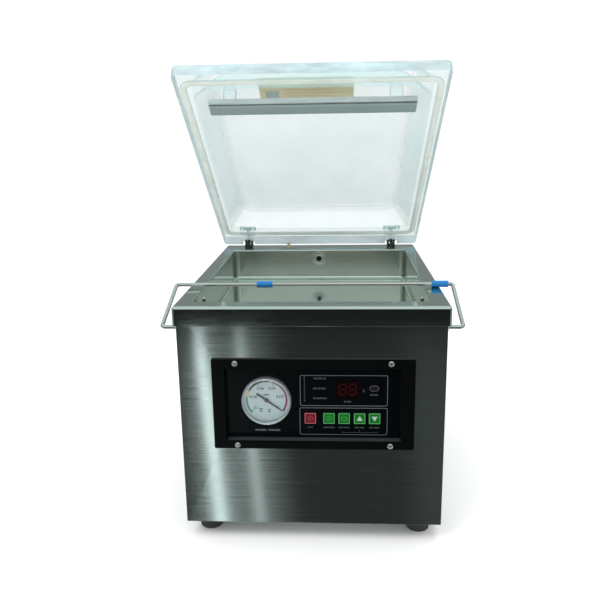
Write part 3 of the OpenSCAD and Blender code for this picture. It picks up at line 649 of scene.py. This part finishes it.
def screws(name, node, places, axis, radius, height, shank):
    """A set of equal screws: a head outside and a shank (radius, length) inwards of each place."""
    turn = Vector((0, 0, 1)).rotation_difference(Vector(axis)).to_matrix().to_4x4()
    head = pan_head(radius, height)
    parts = []
    for p in places:
        copy = bpy.data.objects.new("head", head.data.copy())
        bpy.context.scene.collection.objects.link(copy)
        copy.matrix_world = Matrix.Translation(Vector(p)) @ turn
        rod = lathe("rod", turned(shank[0], -shank[1], 0.0, 0.2 * MM), (0, 0, 0), (0, 0, 1), 20)
        rod.matrix_world = copy.matrix_world
        parts += [copy, rod]
    bpy.data.objects.remove(head)
    bpy.context.view_layer.update()
    obj = join(name, parts)
    smooth(obj, 40)
    return stand_for(obj, node)


def columns(middle, across, y, heights):
    """Two columns of places, each across from the middle, at heights in millimetres."""
    return [(middle + dx, y, z * MM) for dx in (-across, across) for z in heights]


screws("bezel_screws_finish", "bezel_screws",
       columns(centre("control_bezel").x, 93.65 * MM, lo("control_bezel").y, (131.7, 237.8)),
       (0, -1, 0), 3.6 * MM, 2.3 * MM, (2 * MM, 9 * MM))
screws("panel_screws_finish", "panel_screws",
       columns(0.0, 153.25 * MM, hi("rear_panel").y, (60, 165, 270)),
       (0, 1, 0), 3.6 * MM, 2.3 * MM, (2 * MM, 8 * MM))


# ---- lid ----

LID_LO, LID_HI = closed_box("lid_shell")
GASKET_LO, GASKET_HI = closed_box("lid_gasket")
RIM_T = 17 * MM


def build_lid():
    """Clear lid: thick flat rim with a gasket groove and hinge notches, and a raised dome."""
    x, y0, y1, z0 = LID_HI.x, LID_LO.y, LID_HI.y, LID_LO.z
    rim, top, ceiling = z0 + RIM_T, LID_HI.z, LID_LO.z + 42 * MM

    def rect(wx, front, rear, r, z):
        return round_rect(-wx, wx, y0 + front, y1 - rear, r, z, 12)

    def crown(wx, front, rear, r, e, z, angles):
        return [rect(wx - e * (1 - math.cos(a)), front + e * (1 - math.cos(a)), rear + e * (1 - math.cos(a)),
                     r - e * (1 - math.cos(a)), z - e + e * math.sin(a)) for a in angles]

    ring = (GASKET_HI.x, GASKET_LO.y - y0, y1 - GASKET_HI.y)
    deep, wide = 2.5 * MM, 8 * MM
    loops = crown(128 * MM, 40 * MM, 46 * MM, 22 * MM, 9 * MM, ceiling, arc(7, 25, 90)[::-1])
    loops += [rect(147 * MM, 27 * MM, 43.6 * MM, 22 * MM, z0 + 1.5 * MM),
              rect(148.6 * MM, 25.4 * MM, 42.2 * MM, 23 * MM, z0)]
    loops += [rect(ring[0] - wide, ring[1] + wide, ring[2] + wide, 8 * MM, z) for z in (z0, z0 + deep)]
    loops += [rect(ring[0], ring[1], ring[2], 16 * MM, z) for z in (z0 + deep, z0)]
    low, high = 1.0 * MM, 2.6 * MM
    loops += [rect(x - low * (1 - math.sin(a)), low * (1 - math.sin(a)), low * (1 - math.sin(a)), 6 * MM,
                   z0 + low * (1 - math.cos(a))) for a in arc(3)]
    loops += [rect(x - high * (1 - math.cos(a)), high * (1 - math.cos(a)), high * (1 - math.cos(a)), 6 * MM,
                   rim - high + high * math.sin(a)) for a in arc(5)]
    foot = 5 * MM
    loops += [rect(150 * MM + foot * (1 - math.sin(a)), 18 * MM - foot * (1 - math.sin(a)),
                   33 * MM - foot * (1 - math.sin(a)), 30 * MM, rim + foot * (1 - math.cos(a)))
              for a in arc(5, 0, 58)]
    loops += crown(137 * MM, 32 * MM, 37 * MM, 28 * MM, 13 * MM, top, arc(8, 28, 90))
    lid = loft("lid_shell_finish", loops, sharp=28)
    for side in (-1, 1):
        hx, w, d = side * HINGE_X, 10.5 * MM, 20 * MM
        outline = [(hx - w, y1 + 2 * MM), (hx - w, y1 - d / 2), (hx, y1 - d), (hx + w, y1 - d / 2),
                   (hx + w, y1 + 2 * MM)]
        cut(lid, loft("cutter", [[(px, py, z) for px, py in outline] for z in (z0 - 1 * MM, rim + 1 * MM)]))
    # which finish each face gets: 0 the clear sheet, 1 the sawn edge, 2 the notches, near-white as a painted
    # highlight, 3 the dome's bends, whiter as a painted highlight
    finish = [0] * len(lid.data.polygons)
    for p in lid.data.polygons:
        c, upright = p.center, abs(p.normal.z) < 0.5
        if upright and z0 + 0.5 * MM < c.z < rim - 0.5 * MM:
            # the notch faces get the near-white finish: painted highlight
            if abs(abs(c.x) - HINGE_X) < 11 * MM and c.y > y1 - 22 * MM:
                finish[p.index] = 2
            elif c.y < y0 + 3 * MM or c.y > y1 - 3 * MM or abs(c.x) > x - 3 * MM:
                finish[p.index] = 1
        # the dome's curved bends get the whiter finish: painted highlight
        elif 0.15 < abs(p.normal.z) < 0.97 and (c.z > top - 13 * MM or ceiling - 9 * MM < c.z < ceiling):
            finish[p.index] = 3
    lid.data.transform(OPEN_LID)
    smooth(lid, 28)
    stand_for(lid, "lid_shell")
    for mat in (SAWN_EDGE, NOTCH_HIGHLIGHT, DOME_BEND_HIGHLIGHT):
        lid.data.materials.append(mat)
    lid.data.polygons.foreach_set("material_index", finish)


def build_gasket():
    """Silicone ring with a rounded lip, seated in the lid's groove."""
    a, b = GASKET_LO, GASKET_HI
    half = 3.9 * MM
    z_lip, z_seat = a.z, b.z
    profile = [(-half, z_seat), (-half, z_lip + 2.0 * MM)]
    profile += [(-half * math.cos(t), z_lip + 1.9 * MM * (1 - math.sin(t))) for t in arc(10, 10, 170)]
    profile += [(half, z_lip + 2.0 * MM), (half, z_seat)]
    mid = 4 * MM
    loops = [round_rect(a.x + mid - o, b.x - mid + o, a.y + mid - o, b.y - mid + o, 12 * MM + o, z, 10)
             for o, z in profile]
    ring = loft("lid_gasket_finish", loops, closed=True, sharp=50)
    ring.data.transform(OPEN_LID)
    stand_for(ring, "lid_gasket")


def lid_bar(node, edge):
    a, b = closed_box(node)
    bar = box_obj(node + "_finish", a, b)
    bar.data.transform(OPEN_LID)
    stand_for(bevel(bar, edge, 3), node)


def build_label():
    """Plain tan label on the dome with a grey-blue panel and blank print lines."""
    a, b = closed_box("lid_label")
    sheet = loft("lid_label_finish", [round_rect(a.x, b.x, a.y, b.y, 2 * MM, z, 5) for z in (a.z, b.z)])
    sheet.data.transform(OPEN_LID)
    stand_for(sheet, "lid_label")
    under = a.z - 0.03 * MM
    marks = [(a.x + 8 * MM, a.x + 26 * MM, b.y - 27 * MM, b.y - 9 * MM)]
    for k in range(5):
        line_y = b.y - (12 + 6 * k) * MM
        marks.append((a.x + 34 * MM, a.x + (112 - 12 * (k % 2)) * MM, line_y, line_y + 2 * MM))
    panels = []
    for x0, x1, y0, y1 in marks:
        panels.append(box_obj("mark", (x0, y0, b.z - 0.02 * MM), (x1, y1, b.z + 0.05 * MM)))
        panels.append(box_obj("mark", (x0, y0, under), (x1, y1, a.z + 0.02 * MM)))
    for name, pieces, mat in (("lid_label_panel", panels[:2], LABEL_BLUE),
                              ("lid_label_lines", panels[2:], LABEL_INK)):
        ink = join(name, pieces)
        ink.data.transform(OPEN_LID)
        put(ink, mat, "lid", "label_paper")


build_lid()
build_gasket()
lid_bar("counter_bar", 0.8 * MM)
lid_bar("counter_pad", 1.0 * MM)
refined("counter_blocks", 1.0 * MM, 3)
build_label()
leaves = refined("hinge_leaves", 0.35 * MM)
leaves.data.materials[0] = LEAF_STEEL
leaves.data.materials.append(MATS["hinge_black"])
for face in leaves.data.polygons:
    if (CLOSE_LID @ face.center).z < LID_LO.z + 0.5 * MM:
        face.material_index = 1
refined("leaf_screws", 0.5 * MM).data.materials[0] = LEAF_STEEL
refined("hinge_brackets", 0.35 * MM)
refined("hinge_pins", 0.4 * MM)
refined("switch_housing", 0.3 * MM)
refined("switch_plunger", 0.5 * MM, 3)


# ---- bail ----

def build_bail():
    """Wire bail with its ends turned in to the pivots, and two sleeves on its bar."""
    bar_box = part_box("bail_sleeves")
    bar = Vector((0, (bar_box[0].y + bar_box[1].y) / 2, (bar_box[0].z + bar_box[1].z) / 2))
    x = hi("bail_wire").x - 2.5 * MM
    right = hi("bail_sleeves").x - 10.5 * MM
    end = 154 * MM
    corners = [(-end, *BAIL_PIVOT.yz), (-x, *BAIL_PIVOT.yz), (-x, bar.y, bar.z), (x, bar.y, bar.z),
               (x, *BAIL_PIVOT.yz), (end, *BAIL_PIVOT.yz)]
    stand_for(tube("bail_wire_finish", bend_path(corners, 4.5 * MM, 10), 2.5 * MM, 24), "bail_wire")
    sleeves = []
    for mid, length in ((-63.6 * MM, 20.4 * MM), (right, 21 * MM)):
        profile = turned(4.3 * MM, -length / 2, length / 2, 0.7 * MM, 2.56 * MM)
        sleeves.append(lathe("sleeve", profile, (mid, bar.y, bar.z), (1, 0, 0), 40))
    stand_for(join("bail_sleeves_finish", sleeves), "bail_sleeves")


build_bail()
refined("bail_bushes", 0.3 * MM)


# ---- control panel ----

PLATE_Y = hi("control_overlay").y
FILM_Y = lo("control_overlay").y
GAUGE = centre("gauge_dial")
SCALE = (218, -36)  # degrees from +X, where the dial's scale starts and ends
KEYS = ("key_stop", "key_power", "key_set", "key_up", "key_down")

refined("control_bezel", 0.7 * MM, 3)


def printed(name, boxes, y, mat, slot="overlay_film", thick=0.06):
    """Ink on a surface that faces the front: boxes are (x0, x1, z0, z1), in millimetres."""
    parts = [box_obj("ink", (x0 * MM, y - thick * MM, z0 * MM), (x1 * MM, y + 0.02 * MM, z1 * MM))
             for x0, x1, z0, z1 in boxes]
    put(join(name, parts), mat, "root", slot)


def dashes(x0, z, lengths, high, gap):
    """A row of blank strokes where words would be: short blocks, as wide as letters."""
    row = []
    for length in lengths:
        count = max(1, round(length / 1.5))
        step = length / count
        row += [(x0 + k * step, x0 + (k + 0.72) * step, z, z + high) for k in range(count)]
        x0 += length + gap
    return row


def frame_line(x0, x1, z0, z1, w, r, y, thick=0.06):
    """Ring of ink with round corners, facing the front; measures in millimetres."""
    ring = []
    for inset, d in ((0, 0.02), (0, -thick), (w, -thick), (w, 0.02)):
        flat = round_rect((x0 + inset) * MM, (x1 - inset) * MM, (z0 + inset) * MM, (z1 - inset) * MM,
                          (r - inset) * MM, 0, 6)
        ring.append([(px, y + d * MM, pz) for px, pz, _ in flat])
    return loft("line", ring, closed=True)


def build_print():
    """Borders and blank strokes on the film, and the recess's sill; heights measured down from the deck."""
    top = DECK_Z / MM
    lines = [frame_line(-14.4, 92.8, top - 129.3, top - 89.3, 0.7, 2.2, FILM_Y),
             frame_line(-15.2, 92.8, top - 167.6, top - 131.6, 0.7, 2.2, FILM_Y)]
    put(join("panel_lines", lines), PRINT_GREY, "root", "overlay_film")
    words = []
    for drop, x0, lengths in ((93.4, 2.6, (4, 6, 4)), (106.4, 1.8, (5, 4, 5)), (119.2, 1.8, (4, 7, 4))):
        words += dashes(x0, top - drop - 1.2, lengths, 2.3, 0.8)
    words += dashes(39.6, top - 124.6, (3, 5), 2.2, 0.8)
    words += dashes(71.4, top - 115.6, (4, 5), 2.2, 0.8)
    for key, lengths in zip(KEYS, ((3, 3), (7, 6), (6, 7), (6, 5), (5, 7))):
        words += dashes(centre(key).x / MM - (sum(lengths) + 0.7) / 2, top - 158.6, lengths, 1.8, 0.7)
    words += [(-9.4, -8.2, top - 93.4 - 4.3 * k, top - 90.6 - 4.3 * k) for k in range(8)]
    words += [(37, 81, top - 164.6, top - 164.1), (58.4, 58.9, top - 164.3, top - 160.8)]
    words += [(37.1, 37.6, top - 164.3, top - 163.0), (80.4, 80.9, top - 164.3, top - 163.0)]
    words += [(62.4, 64.6, top - 108.6, top - 107.6), (62.4, 64.6, top - 110.8, top - 109.8)]
    printed("panel_words", words, FILM_Y, PRINT_DIM)
    printed("gauge_words", dashes(-70.5, top - 163.0, (14, 15), 2.4, 2.0), FILM_Y, PRINT_GREY)
    lamp = centre("status_lamp") / MM
    ring = frame_line(lamp.x - 5.6, lamp.x + 5.6, lamp.z - 3.6, lamp.z + 3.6, 0.6, 3.55, FILM_Y)
    put(ring, PRINT_GREY, "root", "overlay_film").name = "lamp_ring"
    mid = centre("control_bezel").x / MM
    sill = (mid - 106.8, mid + 106.8, top - 171.45, top - 171.3)
    printed("recess_sill", [sill], FILM_Y - 0.2 * MM, SILL_GREY, "bezel_black", 9.5)


def build_digits():
    """Two seven-segment figures behind the display window."""
    y = lo("display_window").y
    mid = centre("display_window")
    w, h, t = 3.5, 6.9, 1.0
    parts = []
    for cx in (-6.4, 5.9):
        bars = [(0, bz, w, t) for bz in (h, 0, -h)]
        bars += [(sx * (w + 0.5), sz * h / 2, t, h / 2 - 0.5) for sz in (1, -1) for sx in (-1, 1)]
        for bx, bz, sx, sz in bars:
            if sx > sz:
                ring = [(-sx, 0), (-sx + sz, sz), (sx - sz, sz), (sx, 0), (sx - sz, -sz), (-sx + sz, -sz)]
            else:
                ring = [(0, -sz), (sx, -sz + sx), (sx, sz - sx), (0, sz), (-sx, sz - sx), (-sx, -sz + sx)]
            pts = [(mid.x + (cx + bx + px + 0.08 * (bz + pz)) * MM, mid.z + (bz + pz) * MM)
                   for px, pz in ring]
            planes = (y - 0.06 * MM, y + 0.1 * MM)
            parts.append(loft("segment", [[(px, plane, pz) for px, pz in pts] for plane in planes]))
    put(join("display_digits", parts), DIGIT_LIT, "root", "display_red")


def flat_shape(points, y, thick=0.06):
    """Thin plate facing the front from an outline of (x, z) points in metres."""
    return loft("shape", [[(x, y + d * MM, z) for x, z in points] for d in (-thick, 0.02)])


def sector(cx, cz, r0, r1, y, a0, a1, steps, thick=0.06):
    """Flat sector of a ring facing the front; angles from +X towards +Z, in degrees."""
    angles = arc(steps, a0, a1)
    out = [(cx + r1 * math.cos(a), cz + r1 * math.sin(a)) for a in angles]
    back = [(cx + r0 * math.cos(a), cz + r0 * math.sin(a)) for a in reversed(angles)]
    verts, faces = [], []
    for d in (-thick * MM, 0.02 * MM):
        verts += [(x, y + d, z) for x, z in out + back]
    n, m = len(out), 2 * len(out)
    for k in range(n - 1):
        a, b, c, d = k, k + 1, m - 2 - k, m - 1 - k
        faces += [(a, b, c, d), (a + m, d + m, c + m, b + m), (a, a + m, b + m, b), (d, c, c + m, d + m)]
    faces += [(0, m - 1, 2 * m - 1, m), (n - 1, n - 1 + m, n + m, n)]
    return make("ring", verts, faces)


def build_keys():
    """Each key: a domed cap with its border and sign."""
    for key in KEYS:
        a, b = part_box(key)
        mid = (a + b) / 2
        refined(key, 0.35 * MM, 3)
        front = a.y
        s = 7.2
        cx, cz = mid.x / MM, mid.z / MM
        body, slot, thick = BODY_OF[key], SLOT_OF[key], 0.05
        edge = frame_line(cx - s + 0.5, cx + s - 0.5, cz - s + 0.5, cz + s - 0.5, 0.5, 1.0, front, thick)
        put(edge, BORDER_INK[slot], body, slot).name = key + "_border"
        ink, mat = [], SIGN_INK[slot]
        if key == "key_stop":
            ink.append(sector(mid.x, mid.z, 2.4 * MM, 3.0 * MM, front, 120, 420, 30, thick))
            ink.append(box_obj("ink", (mid.x - 0.35 * MM, front - thick * MM, mid.z),
                               (mid.x + 0.35 * MM, front + 0.02 * MM, mid.z + 3.6 * MM)))
        if key == "key_power":
            t = (thick + 0.02) * MM
            for profile in ([(2.8 * MM, 0), (3.5 * MM, 0), (3.5 * MM, t), (2.8 * MM, t)],
                            turned(0.9 * MM, 0, t)):
                ink.append(lathe("ink", profile, (mid.x, front + 0.02 * MM, mid.z), (0, -1, 0), 40))
        if key == "key_set":
            ink.append(frame_line(cx - 3.4, cx + 3.4, cz - 2.4, cz + 2.4, 0.7, 0.8, front, thick))
        if key in ("key_up", "key_down"):
            d = 1 if key == "key_up" else -1
            tri = [(mid.x - 3.6 * MM, mid.z - d * 2.7 * MM), (mid.x + 3.6 * MM, mid.z - d * 2.7 * MM),
                   (mid.x, mid.z + d * 3.4 * MM)]
            ink.append(flat_shape(tri, front, thick))
            mat = PRINT_PALE
        put(join(key + "_sign", ink), mat, body, slot)


def build_gauge():
    """Round vacuum gauge: turned bright rim, printed dial under glass, black needle."""
    a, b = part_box("gauge_case")
    r = (b.x - a.x) / 2
    face = (GAUGE.x, PLATE_Y, GAUGE.z)
    rim = [(r - 3.0 * MM, 0.3 * MM), (r - 0.8 * MM, 0.3 * MM), (r - 0.1 * MM, 1.0 * MM), (r, 2.0 * MM),
           (r, 6.4 * MM), (r - 0.3 * MM, 7.7 * MM), (r - 1.0 * MM, 8.7 * MM), (r - 1.9 * MM, 9.0 * MM),
           (r - 2.7 * MM, 8.7 * MM), (r - 3.0 * MM, 8.0 * MM)]
    ring = lathe("ring", rim, face, (0, -1, 0), 96)
    cup = [(0, 0), (r - 5 * MM, 0), (r - 4 * MM, 1 * MM), (r - 3 * MM, 23 * MM), (r - 3 * MM, 24.3 * MM),
           (r - 4.3 * MM, 24.3 * MM), (r - 4.3 * MM, 3 * MM), (0, 3 * MM)]
    back = (GAUGE.x, PLATE_Y + 24 * MM, GAUGE.z)
    case = lathe("case", cup, back, (0, -1, 0), 64)
    stem = lathe("stem", turned(6 * MM, 0, 7 * MM, 0.5 * MM), back, (0, 1, 0), 6)
    stand_for(join("gauge_case_finish", [ring, case, stem]), "gauge_case")
    refined("gauge_dial", 0.1 * MM)
    refined("gauge_lens", 0.3 * MM, 3)
    dial_y = lo("gauge_dial").y
    rd = (hi("gauge_dial").x - lo("gauge_dial").x) / 2
    for name, mat, a0, a1 in (("green", DIAL_GREEN, 172, 222), ("yellow", DIAL_YELLOW, 150, 172),
                              ("dark", PRINT_DARK, 82, 150), ("crimson", DIAL_CRIMSON, -36, 75)):
        band = sector(GAUGE.x, GAUGE.z, 0.85 * rd, 0.93 * rd, dial_y, a0, a1, 36)
        put(band, mat, "root", "dial_white").name = "dial_band_" + name
    ticks = []
    for k, ang in enumerate(arc(50, *SCALE)):
        long = k % 10 == 0
        r0, r1 = (0.74 if long else 0.80 if k % 5 == 0 else 0.83) * rd, 0.86 * rd
        w = 0.35 * MM if long else 0.16 * MM
        u, v = Vector((math.cos(ang), math.sin(ang))), Vector((-math.sin(ang), math.cos(ang)))
        pts = [u * r0 - v * w, u * r1 - v * w, u * r1 + v * w, u * r0 + v * w]
        ticks.append(flat_shape([(GAUGE.x + p.x, GAUGE.z + p.y) for p in pts], dial_y))
    for x0, z0, l in ((-3.6, 6.2, 7.2), (-9.5, -12.5, 4.6), (1.0, -13.6, 4.0), (-9.0, -15.2, 3.4),
                      (1.6, -16.2, 2.8)):
        ticks.append(box_obj("ink", (GAUGE.x + x0 * MM, dial_y - 0.06 * MM, GAUGE.z + z0 * MM),
                             (GAUGE.x + (x0 + l) * MM, dial_y + 0.02 * MM, GAUGE.z + (z0 + 1.3) * MM)))
    for figure, ang in zip(("0.1", "0.08", "0.06", "0.04", "0.02", "0"), arc(5, *SCALE)):
        place = GAUGE + Vector((math.cos(ang), 0, math.sin(ang))) * 0.60 * rd
        ticks.append(number(figure, place.x, dial_y, place.z, 5.2 * MM))
    put(join("dial_print", ticks), PRINT_DARK, "root", "dial_white")


def number(figure, x, y, z, size):
    """A number for the dial, as a thin plate centred on (x, z)."""
    data = bpy.data.curves.new("number", "FONT")
    data.body, data.size, data.extrude, data.offset = figure, size, 0.03 * MM, 0.05 * MM
    data.align_x, data.align_y = "CENTER", "CENTER"
    text = bpy.data.objects.new("number", data)
    bpy.context.scene.collection.objects.link(text)
    text.matrix_world = Matrix.Translation((x, y - 0.02 * MM, z)) @ Matrix.Rotation(math.pi / 2, 4, "X")
    bpy.context.view_layer.update()
    mesh = bpy.data.meshes.new_from_object(text.evaluated_get(bpy.context.evaluated_depsgraph_get()))
    mesh.transform(text.matrix_world)
    bpy.data.objects.remove(text)
    obj = bpy.data.objects.new("number", mesh)
    bpy.context.scene.collection.objects.link(obj)
    return obj


build_print()
build_digits()
build_keys()
build_gauge()
refined("gauge_needle", 0.08 * MM)
refined("status_lamp", 0.4 * MM, 3)


# ---- inside the chamber ----

for node, edge in (("seal_bar", 0.6), ("seal_cover", 0.12), ("heater_strip", 0.08), ("guide_posts", 0.4),
                   ("lift_bladder", 1.5), ("cable_gland", 0.4), ("spring_seats", 0.3),
                   ("vacuum_pump", 1.5), ("pump_motor", 0.5), ("valve_block", 0.6), ("transformer", 0.5)):
    refined(node, edge * MM, 2)


def build_springs():
    """Two coil springs under the hinge levers."""
    a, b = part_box("lid_springs")
    for side, name in ((-1, "left"), (1, "right")):
        turns, steps, wire, r = 14, 14 * 14, 0.9 * MM, 5.1 * MM
        x, y = side * HINGE_X, (a.y + b.y) / 2
        pts = []
        for k in range(steps + 1):
            t = k / steps
            ang = 2 * math.pi * turns * t
            height = a.z + wire + (b.z - a.z - 2 * wire) * t
            pts.append((x + r * math.cos(ang), y + r * math.sin(ang), height))
        coil = tube("lid_spring_" + name, pts, wire, 8)
        coil.data.materials.append(MATS["spring_steel"])
        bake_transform(coil)
        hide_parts("lid_springs")


build_springs()


# ---- light and floor ----

# light strips that the steel mirrors: middle and half width in radians, brightness
STRIPS = ((-0.215, 0.0075, 1.10), (-0.152, 0.0055, 0.50), (-0.185, 0.058, 0.11), (0.17, 0.06, 0.02),
          (1.25, 0.25, 0.3), (-1.25, 0.25, 0.3))


def make_world():
    """Pale studio: white to the eye, with darker surroundings and light strips for the steel to mirror."""
    world = bpy.data.worlds.new("studio")
    bpy.context.scene.world = world
    world.use_nodes = True
    nt = world.node_tree
    nt.nodes.clear()
    tc = nt.nodes.new("ShaderNodeTexCoord")
    split = nt.nodes.new("ShaderNodeSeparateXYZ")
    nt.links.new(tc.outputs["Generated"], split.inputs[0])
    x, y, z = split.outputs
    height = ranged(nt, z, 0.0, 1.0, -1.0, 1.0)

    def level(stops):
        """Brightness of the surroundings by height."""
        ramp = nt.nodes.new("ShaderNodeValToRGB")
        nt.links.new(height, ramp.inputs["Fac"])
        ramp.color_ramp.elements[0].position = stops[0][0]
        ramp.color_ramp.elements[1].position = stops[-1][0]
        for pos, _ in stops[1:-1]:
            ramp.color_ramp.elements.new(pos)
        for e, (pos, v) in zip(ramp.color_ramp.elements, stops):
            e.position, e.color = pos, (v * 0.86, v, v * 0.98, 1)
        return ramp.outputs["Color"]

    def blended(mode, factor, a, b):
        m = nt.nodes.new("ShaderNodeMix")
        m.data_type, m.blend_type = "RGBA", mode
        if isinstance(factor, float):
            m.inputs["Factor"].default_value = factor
        else:
            nt.links.new(factor, m.inputs["Factor"])
        nt.links.new(a, m.inputs["A"])
        nt.links.new(b, m.inputs["B"])
        return m.outputs["Result"]

    round_about = level(((0.0, 0.13), (0.44, 0.17), (0.52, 0.15), (0.60, 0.14), (0.66, 0.15), (0.76, 0.46),
                         (1.0, 0.42)))
    in_front = level(((0.0, 0.023), (0.35, 0.023), (0.365, 0.008), (0.47, 0.010), (0.54, 0.20), (0.64, 0.34),
                      (0.76, 0.6), (1.0, 0.42)))
    room = blended("MIX", ranged(nt, y, 0.0, 1.0, -0.60, -0.80), round_about, in_front)
    # upright light strips in front of the machine, leaning a little: direction seen from above
    turn = maths(nt, "ARCTAN2", x, maths(nt, "MULTIPLY", y, -1.0))
    turn = maths(nt, "ADD", turn, maths(nt, "MULTIPLY", maths(nt, "ADD", z, 0.29), 0.11))
    total = None
    for middle, half, bright in STRIPS:
        band = nt.nodes.new("ShaderNodeMapRange")
        band.interpolation_type = "SMOOTHSTEP"
        for key, v in (("From Min", half * 1.8), ("From Max", half * 0.6), ("To Max", bright)):
            band.inputs[key].default_value = v
        off = maths(nt, "ABSOLUTE", maths(nt, "SUBTRACT", turn, middle))
        nt.links.new(off, band.inputs["Value"])
        total = band.outputs["Result"] if total is None else maths(nt, "ADD", total, band.outputs["Result"])
    total = maths(nt, "MULTIPLY", total, ranged(nt, z, 1.0, 0.0, -0.295, -0.279))
    strip = nt.nodes.new("ShaderNodeCombineColor")
    for socket, tint in zip(strip.inputs, (0.84, 1.0, 0.99)):
        nt.links.new(maths(nt, "MULTIPLY", total, tint), socket)
    mirror = nt.nodes.new("ShaderNodeBackground")
    nt.links.new(blended("ADD", 1.0, room, strip.outputs[0]), mirror.inputs["Color"])
    mirror.inputs["Strength"].default_value = 2.0
    path = nt.nodes.new("ShaderNodeLightPath")
    plain = nt.nodes.new("ShaderNodeBackground")
    plain.inputs["Color"].default_value = (1, 1, 1, 1)
    # a little less for the eye, so that the far floor and the sky meet without a line
    nt.links.new(ranged(nt, path.outputs["Is Camera Ray"], 1.08, 1.045, 0.0, 1.0), plain.inputs["Strength"])
    mix = nt.nodes.new("ShaderNodeMixShader")
    opaque = maths(nt, "SUBTRACT", 1.0, path.outputs["Is Transmission Ray"])
    nt.links.new(maths(nt, "MULTIPLY", path.outputs["Is Glossy Ray"], opaque), mix.inputs[0])
    nt.links.new(plain.outputs[0], mix.inputs[1])
    nt.links.new(mirror.outputs[0], mix.inputs[2])
    out = nt.nodes.new("ShaderNodeOutputWorld")
    nt.links.new(mix.outputs[0], out.inputs["Surface"])


def area_light(name, place, target, size, power):
    data = bpy.data.lights.new(name, "AREA")
    data.shape, data.size, data.energy = "DISK", size, power
    light = bpy.data.objects.new(name, data)
    bpy.context.scene.collection.objects.link(light)
    light.location = place
    light.visible_glossy = False
    light.rotation_mode = "QUATERNION"
    light.rotation_quaternion = (Vector(target) - Vector(place)).to_track_quat("-Z", "Y")


def make_floor():
    floor = box_obj("floor", (-40, -40, -0.02), (40, 40, 0))
    floor.data.materials.append(surface("floor_pale", (0.97, 0.97, 0.97), 0.0, 0.9, 0.005, 0.03, 40.0, 0.0))
    floor.visible_glossy = False


make_world()
make_floor()
area_light("key", (-0.9, -1.1, 1.7), (0, 0, 0.3), 1.0, 14.0)
area_light("top", (0.3, 0.1, 2.0), (0, 0, 0.3), 1.2, 12.0)
bpy.context.scene.view_settings.view_transform = "Standard"
